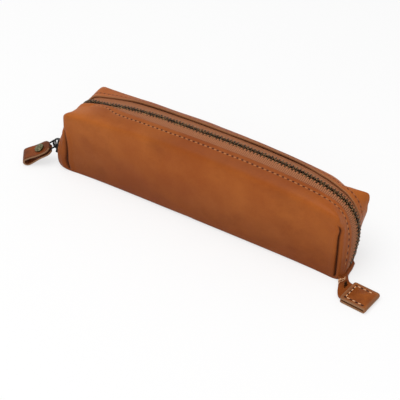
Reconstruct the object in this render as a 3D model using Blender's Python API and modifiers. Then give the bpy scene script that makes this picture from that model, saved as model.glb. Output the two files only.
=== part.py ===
"""Leather pen case: a soft boxed hide with a metal zip over its top and down both ends.

Metres, +Z up. The zip runs along X, the slider is low on the -X end, and the base rests on z = 0.
"""

import math

import bmesh
import bpy
import numpy as np
from mathutils import Matrix, Vector

# Driving sizes of the hide
seam_half_length = 0.100
half_depth = 0.0185
zip_height = 0.0562
shoulder_height = 0.0505
belly = 0.0016
hide_thickness = 0.0014

# How far the zip line stands out past the seams at each end, and its height there
left_zip_overhang = 0.0040
right_zip_overhang = 0.0062
left_zip_end_height = 0.0475
right_zip_end_height = 0.0525

# Height of each ear, and how far it stands out along the case and across it
front_left_ear = (0.0452, 0.0024, 0.0016)
back_left_ear = (0.0470, 0.0012, 0.0045)
front_right_ear = (0.0452, 0.0, 0.0006)
back_right_ear = (0.0402, 0.0012, -0.0020)

# How far the foot of each end is drawn out and swung toward the front
left_draw = 0.0112
right_draw = 0.0010
left_swing = 0.0192
right_swing = 0.0135

# Driving sizes of the zip
slot_half_width = 0.0062
tape_half_gap = 0.0013
tape_thickness = 0.0006
tooth_thickness = 0.0013
chain_half_width = 0.0022
tooth_pitch = 0.0024
tooth_reach = 0.0006
tooth_root = 0.0010
stop_width = 0.0011
stop_length = 0.0018
bottom_stop_width = 0.0030
bottom_stop_thickness = 0.0012

# Driving sizes of the slider
slider_rest_height = 0.0138
slider_length = 0.0094
slider_width = 0.0076
slider_under_width = 0.0062
slider_plate = 0.0011
slider_post_length = 0.0020
slider_post_width = 0.0014
slider_flange = 0.0006
slider_edge = 0.0002
crown_height = 0.0042
crown_length = 0.0080
crown_width = 0.0016
crown_band = 0.0009

# Driving sizes of the pull
wire_diameter = 0.0012
link_width = 0.0070
link_end_width = 0.0050
link_length = 0.0140
link_rise = 0.0020
link_swing = 135.0
link_yaw = -20.0
link_roll = -28.0
strap_length = 0.0205
strap_width = 0.0112
strap_leather = 0.0013
strap_loop_height = 0.0060
strap_swing = -8.0
strap_clip = 0.0026
rivet_inset = 0.0072
rivet_diameter = 0.0062
rivet_cap_height = 0.0011
rivet_shank_diameter = 0.0022

# Driving sizes of the tail, the end tab and the stitching
tab_side = 0.0168
tab_leather = 0.0011
tab_reach = 0.0148
tab_swing = 0.0171
tab_turn = -5.0
tail_width = 0.0144
tail_thickness = 0.0007
tail_rise = 0.0040
tail_front = 0.0160
tail_back = 0.0016
thread_width = 0.0008
thread_thickness = 0.0004
stitch_margin = 0.0036
tab_stitch_margin = 0.0022

# Clearances
gap = 0.0003
slider_play = 0.0005

# Cage lines of the hide, as shares of its half length, half depth and height
length_shares = (-1, -0.94, -0.76, -0.42, 0, 0.42, 0.76, 0.94, 1)
height_shares = (0, 0.16, 0.40, 0.66, 0.88, 1)
shoulder_share = 0.78

# Shares of the height up to which the ends are swung and drawn, and of the length where that begins
left_swing_share = 0.78
right_swing_share = 0.50
draw_height_share = 1.30
end_zone_share = 0.55
back_swing_share = 0.40
foot_return_share = 0.25
foot_height_share = 0.30
draw_lean_share = 0.50

# Shares of a tooth's pitch from its middle to its root and to its tip
tooth_root_share = 0.26
tooth_tip_share = 0.12

# Shares of a cage cell stepped to find the skin's direction, and the side of the zip
normal_step_share = 0.02
side_step_share = 0.30

# Shape powers of the arch over the zip
left_arch_power = 5.0
right_arch_power = 4.5
crown_power = 2.5
narrowing_power = 1.5
front_left_squaring_power = 1.3
back_left_squaring_power = 0.8
right_squaring_power = 2.2
draw_power = 2.6
left_swing_power = 2.0
right_swing_power = 1.0
front_fall_power = 2.0
back_left_fall_power = 2.0
back_right_fall_power = 1.0

# Share of the tail's length at which the bottom stop is clamped
stop_place_share = 0.625

# Counts of facets along the tail, across it and round a turned piece
tail_step_count = 8
tail_line_count = 4
side_count = 16

PART = bpy.data.collections.new("leather_pen_case")
CUTTERS = bpy.data.collections.new("cutters")


def clear_scene():
    """Start from an empty scene."""
    for old in list(bpy.data.objects):
        bpy.data.objects.remove(old, do_unlink=True)
    bpy.context.scene.collection.children.link(PART)
    bpy.context.scene.collection.children.link(CUTTERS)


def material(name, colour, roughness, metallic=0.0):
    """A plain surface in one colour."""
    surface = bpy.data.materials.new(name)
    surface.use_nodes = True
    shader = surface.node_tree.nodes["Principled BSDF"]
    shader.inputs["Base Color"].default_value = (*colour, 1)
    shader.inputs["Roughness"].default_value = roughness
    shader.inputs["Metallic"].default_value = metallic
    return surface


def add_object(name, mesh, surface=None, place=None, collection=PART):
    """Put a mesh in the scene as a named piece."""
    piece = bpy.data.objects.new(name, mesh)
    collection.objects.link(piece)
    if surface:
        mesh.materials.clear()
        mesh.materials.append(surface)
    if place:
        piece.matrix_world = place
    return piece


def add_cutter(name, mesh, place=None):
    """Put a mesh in the scene as a guide that only cuts."""
    cutter = add_object(name, mesh, None, place, CUTTERS)
    cutter.hide_render = True
    cutter.display_type = "WIRE"
    return cutter


def cut(piece, cutter, operation="DIFFERENCE"):
    """Cut a piece with another closed shape."""
    step = piece.modifiers.new(cutter.name, "BOOLEAN")
    step.operation = operation
    step.solver = "EXACT"
    step.object = cutter


def box_mesh(name, low, high):
    """A box between two corners."""
    low, high = Vector(low), Vector(high)
    form = bmesh.new()
    bmesh.ops.create_cube(form, size=1)
    bmesh.ops.scale(form, vec=high - low, verts=form.verts)
    bmesh.ops.translate(form, vec=(low + high) / 2, verts=form.verts)
    return finish_mesh(name, form)


def round_mesh(name, radius, low, high, top_radius=None):
    """A cylinder or a tapered button on the local Z axis."""
    form = bmesh.new()
    top_radius = radius if top_radius is None else top_radius
    bmesh.ops.create_cone(
        form, cap_ends=True, segments=side_count, radius1=radius, radius2=top_radius, depth=high - low
    )
    bmesh.ops.translate(form, vec=(0, 0, (low + high) / 2), verts=form.verts)
    return finish_mesh(name, form)


def finish_mesh(name, form):
    """Turn an edit mesh into mesh data with its faces pointing out."""
    bmesh.ops.recalc_face_normals(form, faces=form.faces)
    mesh = bpy.data.meshes.new(name)
    form.to_mesh(mesh)
    form.free()
    return mesh


def loft_mesh(name, rows):
    """A sheet of quads whose outer face looks along the run of rows crossed with the run of points."""
    form = bmesh.new()
    grid = [[form.verts.new(point) for point in row] for row in rows]
    for low, high in zip(grid, grid[1:]):
        for i in range(len(low) - 1):
            form.faces.new((low[i], high[i], high[i + 1], low[i + 1]))
    mesh = bpy.data.meshes.new(name)
    form.to_mesh(mesh)
    form.free()
    return mesh


def outline_mesh(name, points, thickness):
    """A flat outline in local X and Y, given its thickness about Z."""
    curve = bpy.data.curves.new(name, "CURVE")
    curve.dimensions = "2D"
    curve.fill_mode = "BOTH"
    curve.extrude = thickness / 2
    spline = curve.splines.new("POLY")
    spline.points.add(len(points) - 1)
    for point, (x, y) in zip(spline.points, points):
        point.co = (x, y, 0, 1)
    spline.use_cyclic_u = True
    return curve_to_mesh(name, curve)


def wire_mesh(name, points, diameter):
    """A closed loop of round wire."""
    curve = bpy.data.curves.new(name, "CURVE")
    curve.dimensions = "3D"
    curve.bevel_depth = diameter / 2
    curve.bevel_resolution = 2
    spline = curve.splines.new("POLY")
    spline.points.add(len(points) - 1)
    for point, place in zip(spline.points, points):
        point.co = (*place, 1)
    spline.use_cyclic_u = True
    return curve_to_mesh(name, curve)


def curve_to_mesh(name, curve):
    """Make a curve a mesh with its caps welded."""
    source = bpy.data.objects.new(name + "_curve", curve)
    PART.objects.link(source)
    bpy.context.view_layer.update()
    ready = source.evaluated_get(bpy.context.evaluated_depsgraph_get())
    mesh = bpy.data.meshes.new_from_object(ready)
    bpy.data.objects.remove(source, do_unlink=True)
    bpy.data.curves.remove(curve)
    form = bmesh.new()
    form.from_mesh(mesh)
    bmesh.ops.remove_doubles(form, verts=form.verts, dist=gap / 100)
    bmesh.ops.recalc_face_normals(form, faces=form.faces)
    form.to_mesh(mesh)
    form.free()
    mesh.name = name
    return mesh


def thicken(piece, thickness):
    """Give a sheet its thickness, inward from its outer face."""
    step = piece.modifiers.new("thickness", "SOLIDIFY")
    step.thickness = thickness
    step.offset = -1
    step.use_even_offset = False


def ease(value, end):
    """Fall smoothly from 1 at zero to 0 at the end."""
    left = min(max(1 - value / end, 0), 1)
    return left * left * (3 - 2 * left)


def nearest_ear(sx, sy):
    """Sizes of the ear on the corner nearest to a point, and how the shoulder falls to it."""
    if sy < 0:
        return (*(front_left_ear if sx < 0 else front_right_ear), front_fall_power)
    if sx < 0:
        return (*back_left_ear, back_left_fall_power)
    return (*back_right_ear, back_right_fall_power)


def arch_share(sx, sy, sz):
    """How far a point on a box is drawn in toward the arch of the case's side view."""
    along, across = abs(sx), abs(sy)
    if across == 1 or max(along, sz) == 0:
        return 1.0
    if sx < 0:
        squaring = front_left_squaring_power if sy < 0 else back_left_squaring_power
        power = left_arch_power / (1 - across ** squaring)
    else:
        power = right_arch_power / (1 - across ** right_squaring_power)
    return max(along, sz) / (along ** power + sz ** power) ** (1 / power)


def cage_point(sx, sy, sz):
    """Place of a point of the cage, from its shares of half length, half depth and height."""
    along, across = abs(sx), abs(sy)
    left = sx < 0
    end_sign, face_sign = math.copysign(1, sx), math.copysign(1, sy)
    arch = arch_share(sx, sy, sz)
    up = sz * arch
    ear_height, ear_along, ear_across, fall_power = nearest_ear(sx, sy)
    ear_pull = along ** 3 * across * up
    shoulder = shoulder_height + (ear_height - shoulder_height) * along ** fall_power
    ridge_end = left_zip_end_height if left else right_zip_end_height
    ridge = zip_height + (ridge_end - zip_height) * along ** 2
    crown = across ** crown_power
    overhang = left_zip_overhang if left else right_zip_overhang
    half_length = seam_half_length + overhang * (1 - across ** narrowing_power)
    end_zone = max((along * arch - end_zone_share) / (1 - end_zone_share), 0) ** 2
    bulge = belly * math.sin(math.pi * up) * (1 - along ** 2)
    x = half_length * sx * arch + end_sign * ear_along * ear_pull
    y = half_depth * sy + face_sign * (across * bulge + ear_across * ear_pull)
    z = (ridge * (1 - crown) + shoulder * crown) * up
    swing = left_swing if left else right_swing
    draw = left_draw if left else right_draw
    swing_share = left_swing_share if left else right_swing_share
    swing_weight = 1 + back_swing_share / 2 * sy - (1 - back_swing_share / 2) * sy ** 2
    draw_weight = (1 - across ** draw_power) * (1 + (draw_lean_share * sy if left else 0))
    swing_power = left_swing_power if left else right_swing_power
    foot = 1 - (foot_return_share * ease(up, foot_height_share) if left else 0)
    y -= swing * foot * swing_weight * ease((up / swing_share) ** swing_power, 1) * end_zone
    x += end_sign * draw * draw_weight * ease(up, draw_height_share) * end_zone
    return Vector((x, y, z))


def slot_line_share():
    """Cage line whose smooth line lies on the edge of the slot."""
    return (6 * slot_half_width / half_depth - shoulder_share) / 3


def cage_lines():
    """Lines of the cage across the zip, front to back."""
    slot = slot_line_share()
    return (-1, -shoulder_share, -slot, slot, shoulder_share, 1)


def cage_stations():
    """Stations of the cage along the zip: up the -X end, along the top and down the +X end."""
    inner = length_shares[1:-1]
    left = [(-1, height) for height in height_shares]
    top = [(length, 1) for length in inner]
    right = [(1, height) for height in reversed(height_shares)]
    return [(inner[0], 0)] + left + top + right + [(inner[-1], 0)]


STATIONS = cage_stations()
LINES = cage_lines()
CAGE = np.array([[cage_point(sx, sy, sz) for sy in LINES] for sx, sz in STATIONS])
FIRST_STATION = STATIONS.index((-1, height_shares[1]))
LAST_STATION = STATIONS.index((1, height_shares[1]))
CENTRE_LINE = (len(LINES) - 1) / 2


def weights(place):
    """First control index and the four cubic weights at a place among evenly numbered controls."""
    first = math.floor(place)
    t = place - first
    values = ((1 - t) ** 3, 3 * t ** 3 - 6 * t ** 2 + 4, -3 * t ** 3 + 3 * t ** 2 + 3 * t + 1, t ** 3)
    return first - 1, np.array(values) / 6


def blend(controls, place):
    """Smooth value among control rows."""
    first, values = weights(place)
    total = 0
    for step, value in enumerate(values):
        if value:
            total = total + value * controls[first + step]
    return total


def skin_point(station, line):
    """Point of the smooth outer skin at a station along the zip and a line across it."""
    return Vector(blend(blend(CAGE, station), line))


def line_at(distance):
    """Line across the zip at a distance from its centre, negative to the front."""
    numbers = np.linspace(1, len(LINES) - 2, 61)
    places = [blend(np.array(LINES, float), number) * half_depth for number in numbers]
    return float(np.interp(distance, places, numbers))


def skin_normal(station, line):
    """Outward direction of the skin."""
    step = normal_step_share
    run = skin_point(station + step, line) - skin_point(station - step, line)
    side = skin_point(station, line + step) - skin_point(station, line - step)
    return run.cross(side).normalized()


def below_skin(station, line, depth):
    """Point at a depth under the skin."""
    return skin_point(station, line) - depth * skin_normal(station, line)


def half_stations(first, last):
    """Whole and half stations between two stations, where the hide's facets meet."""
    return [first + step / 2 for step in range(int(2 * (last - first)) + 1)]


class Route:
    """The zip's centre line as a run of chords, with the side and outward directions on it."""

    def __init__(self, first, last):
        self.marks = half_stations(first, last)
        self.points = [skin_point(mark, CENTRE_LINE) for mark in self.marks]
        self.out = [skin_normal(mark, CENTRE_LINE) for mark in self.marks]
        self.side = []
        for mark, out in zip(self.marks, self.out):
            across = skin_point(mark, CENTRE_LINE + side_step_share)
            across -= skin_point(mark, CENTRE_LINE - side_step_share)
            self.side.append((across - across.dot(out) * out).normalized())
        self.lengths = [0.0]
        for a, b in zip(self.points, self.points[1:]):
            self.lengths.append(self.lengths[-1] + (b - a).length)

    def place(self, length, sideways=0.0, depth=0.0):
        """Point at a length along the route, moved to the side and below the skin."""
        length = min(max(length, 0), self.lengths[-1])
        step = int(np.searchsorted(self.lengths, length, side="right")) - 1
        step = min(step, len(self.points) - 2)
        t = (length - self.lengths[step]) / (self.lengths[step + 1] - self.lengths[step])
        ends = []
        for i in (step, step + 1):
            ends.append(self.points[i] + sideways * self.side[i] - depth * self.out[i])
        return ends[0].lerp(ends[1], t)

    def length_at_height(self, height):
        """Length at which the -X end's run first reaches a height."""
        for i, (a, b) in enumerate(zip(self.points, self.points[1:])):
            if a.z <= height < b.z:
                return self.lengths[i] + (height - a.z) / (b.z - a.z) * (b - a).length
        return 0.0


ROUTE = Route(FIRST_STATION, LAST_STATION)
SLIDER_AT = ROUTE.length_at_height(slider_rest_height)
TAPE_DEPTH = hide_thickness + gap
TOOTH_DEPTH = TAPE_DEPTH - gap - tooth_thickness


def frame_matrix(origin, run, side):
    """Placement whose X follows the run and whose Y leans to the side."""
    x_axis = run.normalized()
    z_axis = x_axis.cross(side).normalized()
    y_axis = z_axis.cross(x_axis)
    turn = Matrix((x_axis, y_axis, z_axis)).transposed().to_4x4()
    return Matrix.Translation(origin) @ turn


def slider_frame():
    """Placement of the slider: X up the zip, Y to the back, Z out of the skin."""
    half = slider_length / 2
    low = ROUTE.place(SLIDER_AT - half)
    high = ROUTE.place(SLIDER_AT + half)
    side = ROUTE.place(SLIDER_AT, chain_half_width) - ROUTE.place(SLIDER_AT, -chain_half_width)
    return frame_matrix((low + high) / 2, high - low, side)


def make_hide(surface):
    """Body, ends and base cut from one hide, with the slot for the zip."""
    form = bmesh.new()
    bmesh.ops.create_cube(form, size=2)
    bmesh.ops.translate(form, vec=(0, 0, 1), verts=form.verts)
    bmesh.ops.scale(form, vec=(1, 1, 0.5), verts=form.verts)
    planes = [((share, 0, 0), (1, 0, 0)) for share in length_shares[1:-1]]
    planes += [((0, share, 0), (0, 1, 0)) for share in LINES[1:-1]]
    planes += [((0, 0, share), (0, 0, 1)) for share in height_shares[1:-1]]
    for centre, direction in planes:
        parts = form.verts[:] + form.edges[:] + form.faces[:]
        bmesh.ops.bisect_plane(form, geom=parts, plane_co=centre, plane_no=direction, dist=1e-5)
    slot = LINES[3]
    first_height = height_shares[1]
    for face in form.faces:
        middle = face.calc_center_median()
        face.material_index = int(abs(middle.y) < slot and middle.z > first_height)
    for vert in form.verts:
        vert.co = cage_point(*(round(value, 4) for value in vert.co))
    cage = bpy.data.objects.new("hide_cage", finish_mesh("hide_cage", form))
    PART.objects.link(cage)
    cage.data.materials.append(surface)
    cage.data.materials.append(surface)
    smooth = cage.modifiers.new("smooth", "SUBSURF")
    smooth.levels = 1
    smooth.render_levels = 1
    bpy.context.view_layer.update()
    skin = bpy.data.meshes.new_from_object(cage.evaluated_get(bpy.context.evaluated_depsgraph_get()))
    bpy.data.objects.remove(cage, do_unlink=True)
    form = bmesh.new()
    form.from_mesh(skin)
    zip_faces = [face for face in form.faces if face.material_index == 1]
    bmesh.ops.delete(form, geom=zip_faces, context="FACES")
    form.to_mesh(skin)
    form.free()
    hide = add_object("hide", skin, surface)
    thicken(hide, hide_thickness)
    hide.data.shade_smooth()
    return hide


def make_tape(name, side, surface):
    """One woven tape of the zip, its outer half under the hide."""
    marks = half_stations(FIRST_STATION - 0.5, LAST_STATION + 0.5)
    lines = [line_at(side * tape_half_gap), line_at(side * slot_half_width)]
    lines.append(CENTRE_LINE + side)
    lines.sort()
    rows = [[below_skin(mark, line, TAPE_DEPTH) for line in lines] for mark in marks]
    tape = add_object(name, loft_mesh(name, rows), surface)
    thicken(tape, tape_thickness)
    return tape


def make_teeth(name, side, surface):
    """One row of the zip's teeth, joined along its outer edge, half a pitch from the other row."""
    first = SLIDER_AT - slider_length / 2 + slider_post_length + 2 * gap
    last = ROUTE.lengths[-1]
    count = int((last - first) / tooth_pitch) - 1
    shift = 0.5 if side > 0 else 0.0
    profile = [(-tooth_root_share, tooth_root), (-tooth_tip_share, -tooth_reach)]
    profile += [(tooth_tip_share, -tooth_reach), (tooth_root_share, tooth_root)]
    rows = []
    for number in range(count):
        for share, inner in profile:
            length = first + (number + share + shift + 0.5) * tooth_pitch
            ends = [side * inner, side * chain_half_width]
            ends.sort()
            rows.append([ROUTE.place(length, end, TOOTH_DEPTH) for end in ends])
    teeth = add_object(name, loft_mesh(name, rows), surface)
    thicken(teeth, tooth_thickness)
    return teeth


def make_top_stop(name, side, surface):
    """Small metal stop beside the slider's post."""
    first = SLIDER_AT - slider_length / 2
    inner = side * (tape_half_gap + gap)
    outer = inner + side * stop_width
    rows = []
    for length in (first, first + stop_length):
        rows.append([ROUTE.place(length, end, TOOTH_DEPTH) for end in sorted((inner, outer))])
    stop = add_object(name, loft_mesh(name, rows), surface)
    thicken(stop, tooth_thickness)
    return stop


def make_slider(frame, surface):
    """Slider body: a flanged top plate and a plain under plate, joined by a post past the teeth."""
    half_length, half_width = slider_length / 2, slider_width / 2
    under_top = -TAPE_DEPTH - tape_thickness - slider_play
    flange_foot = -TAPE_DEPTH + slider_play
    channel_top = slider_play - TOOTH_DEPTH
    channel_side = half_width - slider_flange
    top = channel_top + slider_plate
    points = [(-half_width, flange_foot), (-half_width, top), (half_width, top), (half_width, flange_foot)]
    points += [(channel_side, flange_foot), (channel_side, channel_top)]
    points += [(-channel_side, channel_top), (-channel_side, flange_foot)]
    mesh = outline_mesh("slider_body", points, slider_length)
    mesh.transform(Matrix(((0, 0, 1, 0), (1, 0, 0, 0), (0, 1, 0, 0), (0, 0, 0, 1))))
    body = add_object("slider_body", mesh, surface, frame)
    corner = body.modifiers.new("corner", "BEVEL")
    corner.width = slider_edge
    corner.segments = 1
    corner.limit_method = "ANGLE"
    low = (gap - half_length, -slider_post_width / 2, under_top - slider_plate / 2)
    high = (slider_post_length - half_length, slider_post_width / 2, channel_top + slider_plate / 2)
    post = box_mesh("slider_post", low, high)
    cut(body, add_cutter("slider_post", post, frame), "UNION")
    low = (-half_length, -slider_under_width / 2, under_top - slider_plate)
    high = (half_length, slider_under_width / 2, under_top)
    under = box_mesh("slider_under", low, high)
    cut(body, add_cutter("slider_under", under, frame), "UNION")
    return top


def make_crown(frame, base, surface):
    """Arched bridge on the slider that holds the link."""
    outer_run, outer_rise = crown_length / 2, crown_height
    inner_run, inner_rise = outer_run - crown_band, outer_rise - crown_band
    points = []
    for step in range(side_count // 2 + 1):
        angle = math.pi * step / (side_count // 2)
        points.append((outer_run * math.cos(angle), outer_rise * math.sin(angle)))
    for step in range(side_count // 2, -1, -1):
        angle = math.pi * step / (side_count // 2)
        points.append((inner_run * math.cos(angle), inner_rise * math.sin(angle)))
    stand = Matrix.Translation((0, 0, base + gap)) @ Matrix.Rotation(math.pi / 2, 4, "X")
    add_object("slider_crown", outline_mesh("slider_crown", points, crown_width), surface, frame @ stand)


def link_frame(frame, base):
    """Placement of the link: its bar under the crown is on Y, and X runs out to the rivet."""
    rise = base + gap + link_rise
    place = frame @ Matrix.Translation((0, 0, rise))
    place = place @ Matrix.Rotation(-math.radians(link_swing), 4, "Y")
    place = place @ Matrix.Rotation(math.radians(link_yaw), 4, "Z")
    return place @ Matrix.Rotation(math.radians(link_roll), 4, "X")


def make_link(frame, surface):
    """Wire loop from the slider's crown to the rivet."""
    bar, end = link_width / 2, link_end_width / 2
    corner = wire_diameter
    points = [(0, -bar + corner, 0), (0, bar - corner, 0), (corner, bar, 0)]
    for step in range(side_count // 2 + 1):
        angle = math.pi * step / (side_count // 2)
        far = link_length - end + rivet_shank_diameter / 2
        points.append((far + end * math.sin(angle), end * math.cos(angle), 0))
    points.append((corner, -bar, 0))
    add_object("pull_link", wire_mesh("pull_link", points, wire_diameter), surface, frame)


def make_strap(frame, surface):
    """Leather pull folded into a loop, its two clipped ends over the link."""
    inner = wire_diameter / 2 + gap
    outer = inner + strap_leather
    tip, fold = -rivet_inset, strap_length - rivet_inset
    bulge = strap_loop_height / 2
    centre = fold - bulge
    loop = []
    for step in range(side_count // 2 + 1):
        angle = math.pi / 2 - math.pi * step / (side_count // 2)
        loop.append((centre + bulge * math.cos(angle), bulge * math.sin(angle)))
    hollow = []
    small = bulge - strap_leather
    for x, y in loop:
        share = small / bulge
        hollow.append((centre + (x - centre) * share, y * share))
    points = [(tip, inner), (tip, outer), (rivet_inset - strap_leather, outer)] + loop
    points += [(rivet_inset - strap_leather, -outer), (tip, -outer), (tip, -inner)]
    points += [(rivet_inset - strap_leather, -inner)] + hollow[::-1] + [(rivet_inset - strap_leather, inner)]
    mesh = outline_mesh("pull_strap", points, strap_width)
    mesh.transform(Matrix.Rotation(math.pi / 2, 4, "X"))
    strap = add_object("pull_strap", mesh, surface, frame)
    reach = strap_length
    for tag, side in (("front", -1), ("back", 1)):
        name = f"strap_clip_{tag}"
        clip = box_mesh(name, (-reach, 0, -reach), (0, reach, reach))
        turn = Matrix.Rotation(side * math.pi / 4, 4, "Z")
        if side < 0:
            clip.transform(Matrix.Scale(-1, 4, (0, 1, 0)))
            clip.flip_normals()
        shift = Matrix.Translation((tip + strap_clip, side * strap_width / 2, 0))
        clip_cutter = add_cutter(name, clip, frame @ shift @ turn)
        cut(strap, clip_cutter)
    hole = round_mesh("rivet_hole", rivet_shank_diameter / 2 + gap, -strap_length, strap_length)
    cut(strap, add_cutter("rivet_hole", hole, frame))
    return outer


def make_rivet(frame, face, surface):
    """Rivet through the strap's two layers and the link: a cap, and a shank with its back cap."""
    radius = rivet_diameter / 2
    low, high = face + gap, face + gap + rivet_cap_height
    dome = radius - rivet_cap_height
    back = round_mesh("rivet_post", radius, low, high, dome)
    back.transform(Matrix.Rotation(math.pi, 4, "X"))
    post = add_object("rivet_post", back, surface, frame)
    shank_name = "rivet_shank"
    shank = round_mesh(shank_name, rivet_shank_diameter / 2, -low - rivet_cap_height / 2, face - gap)
    cut(post, add_cutter(shank_name, shank, frame), "UNION")
    cap = round_mesh("rivet_cap", radius, low, high, dome)
    add_object("rivet_cap", cap, surface, frame)


def tab_frame():
    """Placement of the end tab, flat beside the foot of the +X end."""
    foot = skin_point(LAST_STATION + 0.5, CENTRE_LINE)
    rise = gap + tab_leather + gap + tail_thickness / 2
    place = Matrix.Translation((foot.x + tab_reach, foot.y - tab_swing, rise))
    return place @ Matrix.Rotation(math.radians(tab_turn), 4, "Z")


def make_tab(frame, surface):
    """Square of leather folded over the end of the zip, its fold away from the case."""
    half = tab_side / 2
    inner = tail_thickness / 2 + gap
    outer = inner + tab_leather
    centre = half - outer
    points = [(-half, inner), (-half, outer)]
    arc = [math.pi / 2 - math.pi * step / (side_count // 2) for step in range(side_count // 2 + 1)]
    points += [(centre + outer * math.cos(angle), outer * math.sin(angle)) for angle in arc]
    points += [(-half, -outer), (-half, -inner)]
    points += [(centre + inner * math.cos(angle), inner * math.sin(angle)) for angle in arc[::-1]]
    mesh = outline_mesh("end_tab", points, tab_side)
    mesh.transform(Matrix.Rotation(math.pi / 2, 4, "X"))
    add_object("end_tab", mesh, surface, frame)
    return outer


def make_tab_stitch(frame, face, surface):
    """Line of thread round three sides of the end tab."""
    edge = tab_side / 2 - tab_stitch_margin
    inner = edge - thread_width
    points = [(edge, edge), (-edge, edge), (-edge, -edge), (edge, -edge)]
    points += [(edge, -inner), (-inner, -inner), (-inner, inner), (edge, inner)]
    lift = Matrix.Translation((0, 0, face + gap + thread_thickness / 2))
    add_object("tab_stitch", outline_mesh("tab_stitch", points, thread_thickness), surface, frame @ lift)


def make_tail(frame, surface):
    """Ends of the front strip and the tape, sewn together, from the foot of the +X end into the tab."""
    mouth = Vector((-tab_side / 2 - gap, 0, tail_thickness / 2))
    inside = Vector((tab_side / 4, 0, tail_thickness / 2))
    foot = LAST_STATION + 0.5
    lift = -gap - tail_thickness
    knee = skin_normal(foot, CENTRE_LINE) * tail_rise / 4 - Vector((0, 0, tail_rise))
    rows = [[] for step in range(tail_step_count + 2)]
    for number in range(tail_line_count + 1):
        share = number / tail_line_count
        low = below_skin(foot, line_at(share * (tail_front - tail_back) - tail_front), lift)
        across = Vector((0, tail_width * (share - 1 / 2), 0))
        edge = frame @ (mouth + across)
        before = frame @ (mouth + across - Vector((tail_rise, 0, 0)))
        for step in range(tail_step_count + 1):
            t = step / tail_step_count
            shares = ((1 - t) ** 3, 3 * t * (1 - t) ** 2, 3 * t * t * (1 - t), t ** 3)
            knots = (low, low + knee, before, edge)
            rows[step].append(sum((part * knot for part, knot in zip(shares, knots)), Vector()))
        rows[-1].append(frame @ (inside + across))
    tail = add_object("tail_strip", loft_mesh("tail_strip", rows), surface)
    thicken(tail, tail_thickness)
    return rows


def make_bottom_stop(tail_rows, surface):
    """Metal stop clamped on the tail where the teeth end."""
    inset_share = (1 - bottom_stop_width * tail_line_count / tail_width) / 2
    line = tail_line_count // 2
    step = round(stop_place_share * tail_step_count)
    rows = []
    for number in range(step - 1, step + 2):
        front, back = tail_rows[number][line:line + 2]
        run = tail_rows[number + 1][line] - tail_rows[number - 1][line]
        up = run.cross(back - front).normalized() * (gap + bottom_stop_thickness)
        shares = (inset_share, 1 - inset_share)
        rows.append([front.lerp(back, share) + up for share in shares])
    stop = add_object("bottom_stop", loft_mesh("bottom_stop", rows), surface)
    thicken(stop, bottom_stop_thickness)


def make_zip_stitch(name, side, surface):
    """Line of thread along the edge of the slot."""
    middle = slot_half_width + stitch_margin
    edges = (middle - thread_width / 2, middle + thread_width / 2)
    lines = sorted(line_at(side * edge) for edge in edges)
    marks = half_stations(FIRST_STATION + 1, LAST_STATION - 1)
    depth = -gap - thread_thickness
    rows = [[below_skin(mark, line, depth) for line in lines] for mark in marks]
    thread = add_object(name, loft_mesh(name, rows), surface)
    thicken(thread, thread_thickness)


def build():
    """Make every piece of the pen case."""
    clear_scene()
    leather = material("leather", (0.36, 0.12, 0.035), 0.5)
    tape = material("woven_tape", (0.30, 0.13, 0.06), 0.9)
    brass = material("antique_brass", (0.12, 0.09, 0.05), 0.4, 1.0)
    black = material("black_metal", (0.03, 0.03, 0.03), 0.35, 1.0)
    rivet = material("rivet_brass", (0.30, 0.25, 0.12), 0.35, 1.0)
    thread = material("thread", (0.55, 0.25, 0.10), 0.8)
    make_hide(leather)
    for tag, side in (("front", -1), ("back", 1)):
        make_tape(f"zip_tape_{tag}", side, tape)
        make_teeth(f"zip_teeth_{tag}", side, brass)
        make_top_stop(f"top_stop_{tag}", side, brass)
        make_zip_stitch(f"zip_stitch_{tag}", side, thread)
    slider = slider_frame()
    base = make_slider(slider, black)
    make_crown(slider, base, black)
    link = link_frame(slider, base)
    make_link(link, black)
    strap = link @ Matrix.Translation((link_length - link_end_width / 2, 0, 0))
    strap = strap @ Matrix.Rotation(math.pi, 4, "X") @ Matrix.Rotation(math.radians(strap_swing), 4, "Z")
    face = make_strap(strap, leather)
    make_rivet(strap, face, rivet)
    tab = tab_frame()
    tab_face = make_tab(tab, leather)
    make_tab_stitch(tab, tab_face, thread)
    rows = make_tail(tab, leather)
    make_bottom_stop(rows, brass)


build()
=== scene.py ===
# %% [markdown]
# # A soft leather pen case with a metal zip
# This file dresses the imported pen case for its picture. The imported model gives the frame: where each
# piece is, and what moves. Here every soft piece gets its real form, and every surface its finish.
# Each step says first what the piece is on the real case, then how it is made and why.

# %% Load the frame
import math

import bpy
import numpy as np
from mathutils import Matrix, Vector, noise


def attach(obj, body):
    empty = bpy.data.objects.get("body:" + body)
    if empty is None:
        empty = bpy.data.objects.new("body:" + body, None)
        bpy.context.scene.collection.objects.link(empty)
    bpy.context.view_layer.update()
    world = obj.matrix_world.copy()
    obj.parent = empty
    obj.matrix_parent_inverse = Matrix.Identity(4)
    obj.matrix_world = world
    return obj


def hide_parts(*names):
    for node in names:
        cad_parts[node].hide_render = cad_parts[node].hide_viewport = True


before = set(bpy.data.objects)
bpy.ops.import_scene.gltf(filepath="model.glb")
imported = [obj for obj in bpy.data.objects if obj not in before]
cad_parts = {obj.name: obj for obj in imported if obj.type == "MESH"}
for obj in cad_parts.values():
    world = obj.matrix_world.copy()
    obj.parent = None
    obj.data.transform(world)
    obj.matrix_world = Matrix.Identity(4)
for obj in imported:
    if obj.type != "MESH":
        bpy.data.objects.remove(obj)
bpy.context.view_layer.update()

# %% [markdown]
# ## The camera
# The case was photographed from the front, 37 degrees above the table, with a long lens. The numbers
# come from fitting the case's corners, zip and base to the photograph, so they stay as they are.


# %% Camera
def turn_by(degrees, axis):
    """Turn about an axis, in degrees."""
    return Matrix.Rotation(math.radians(degrees), 4, axis)


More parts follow.
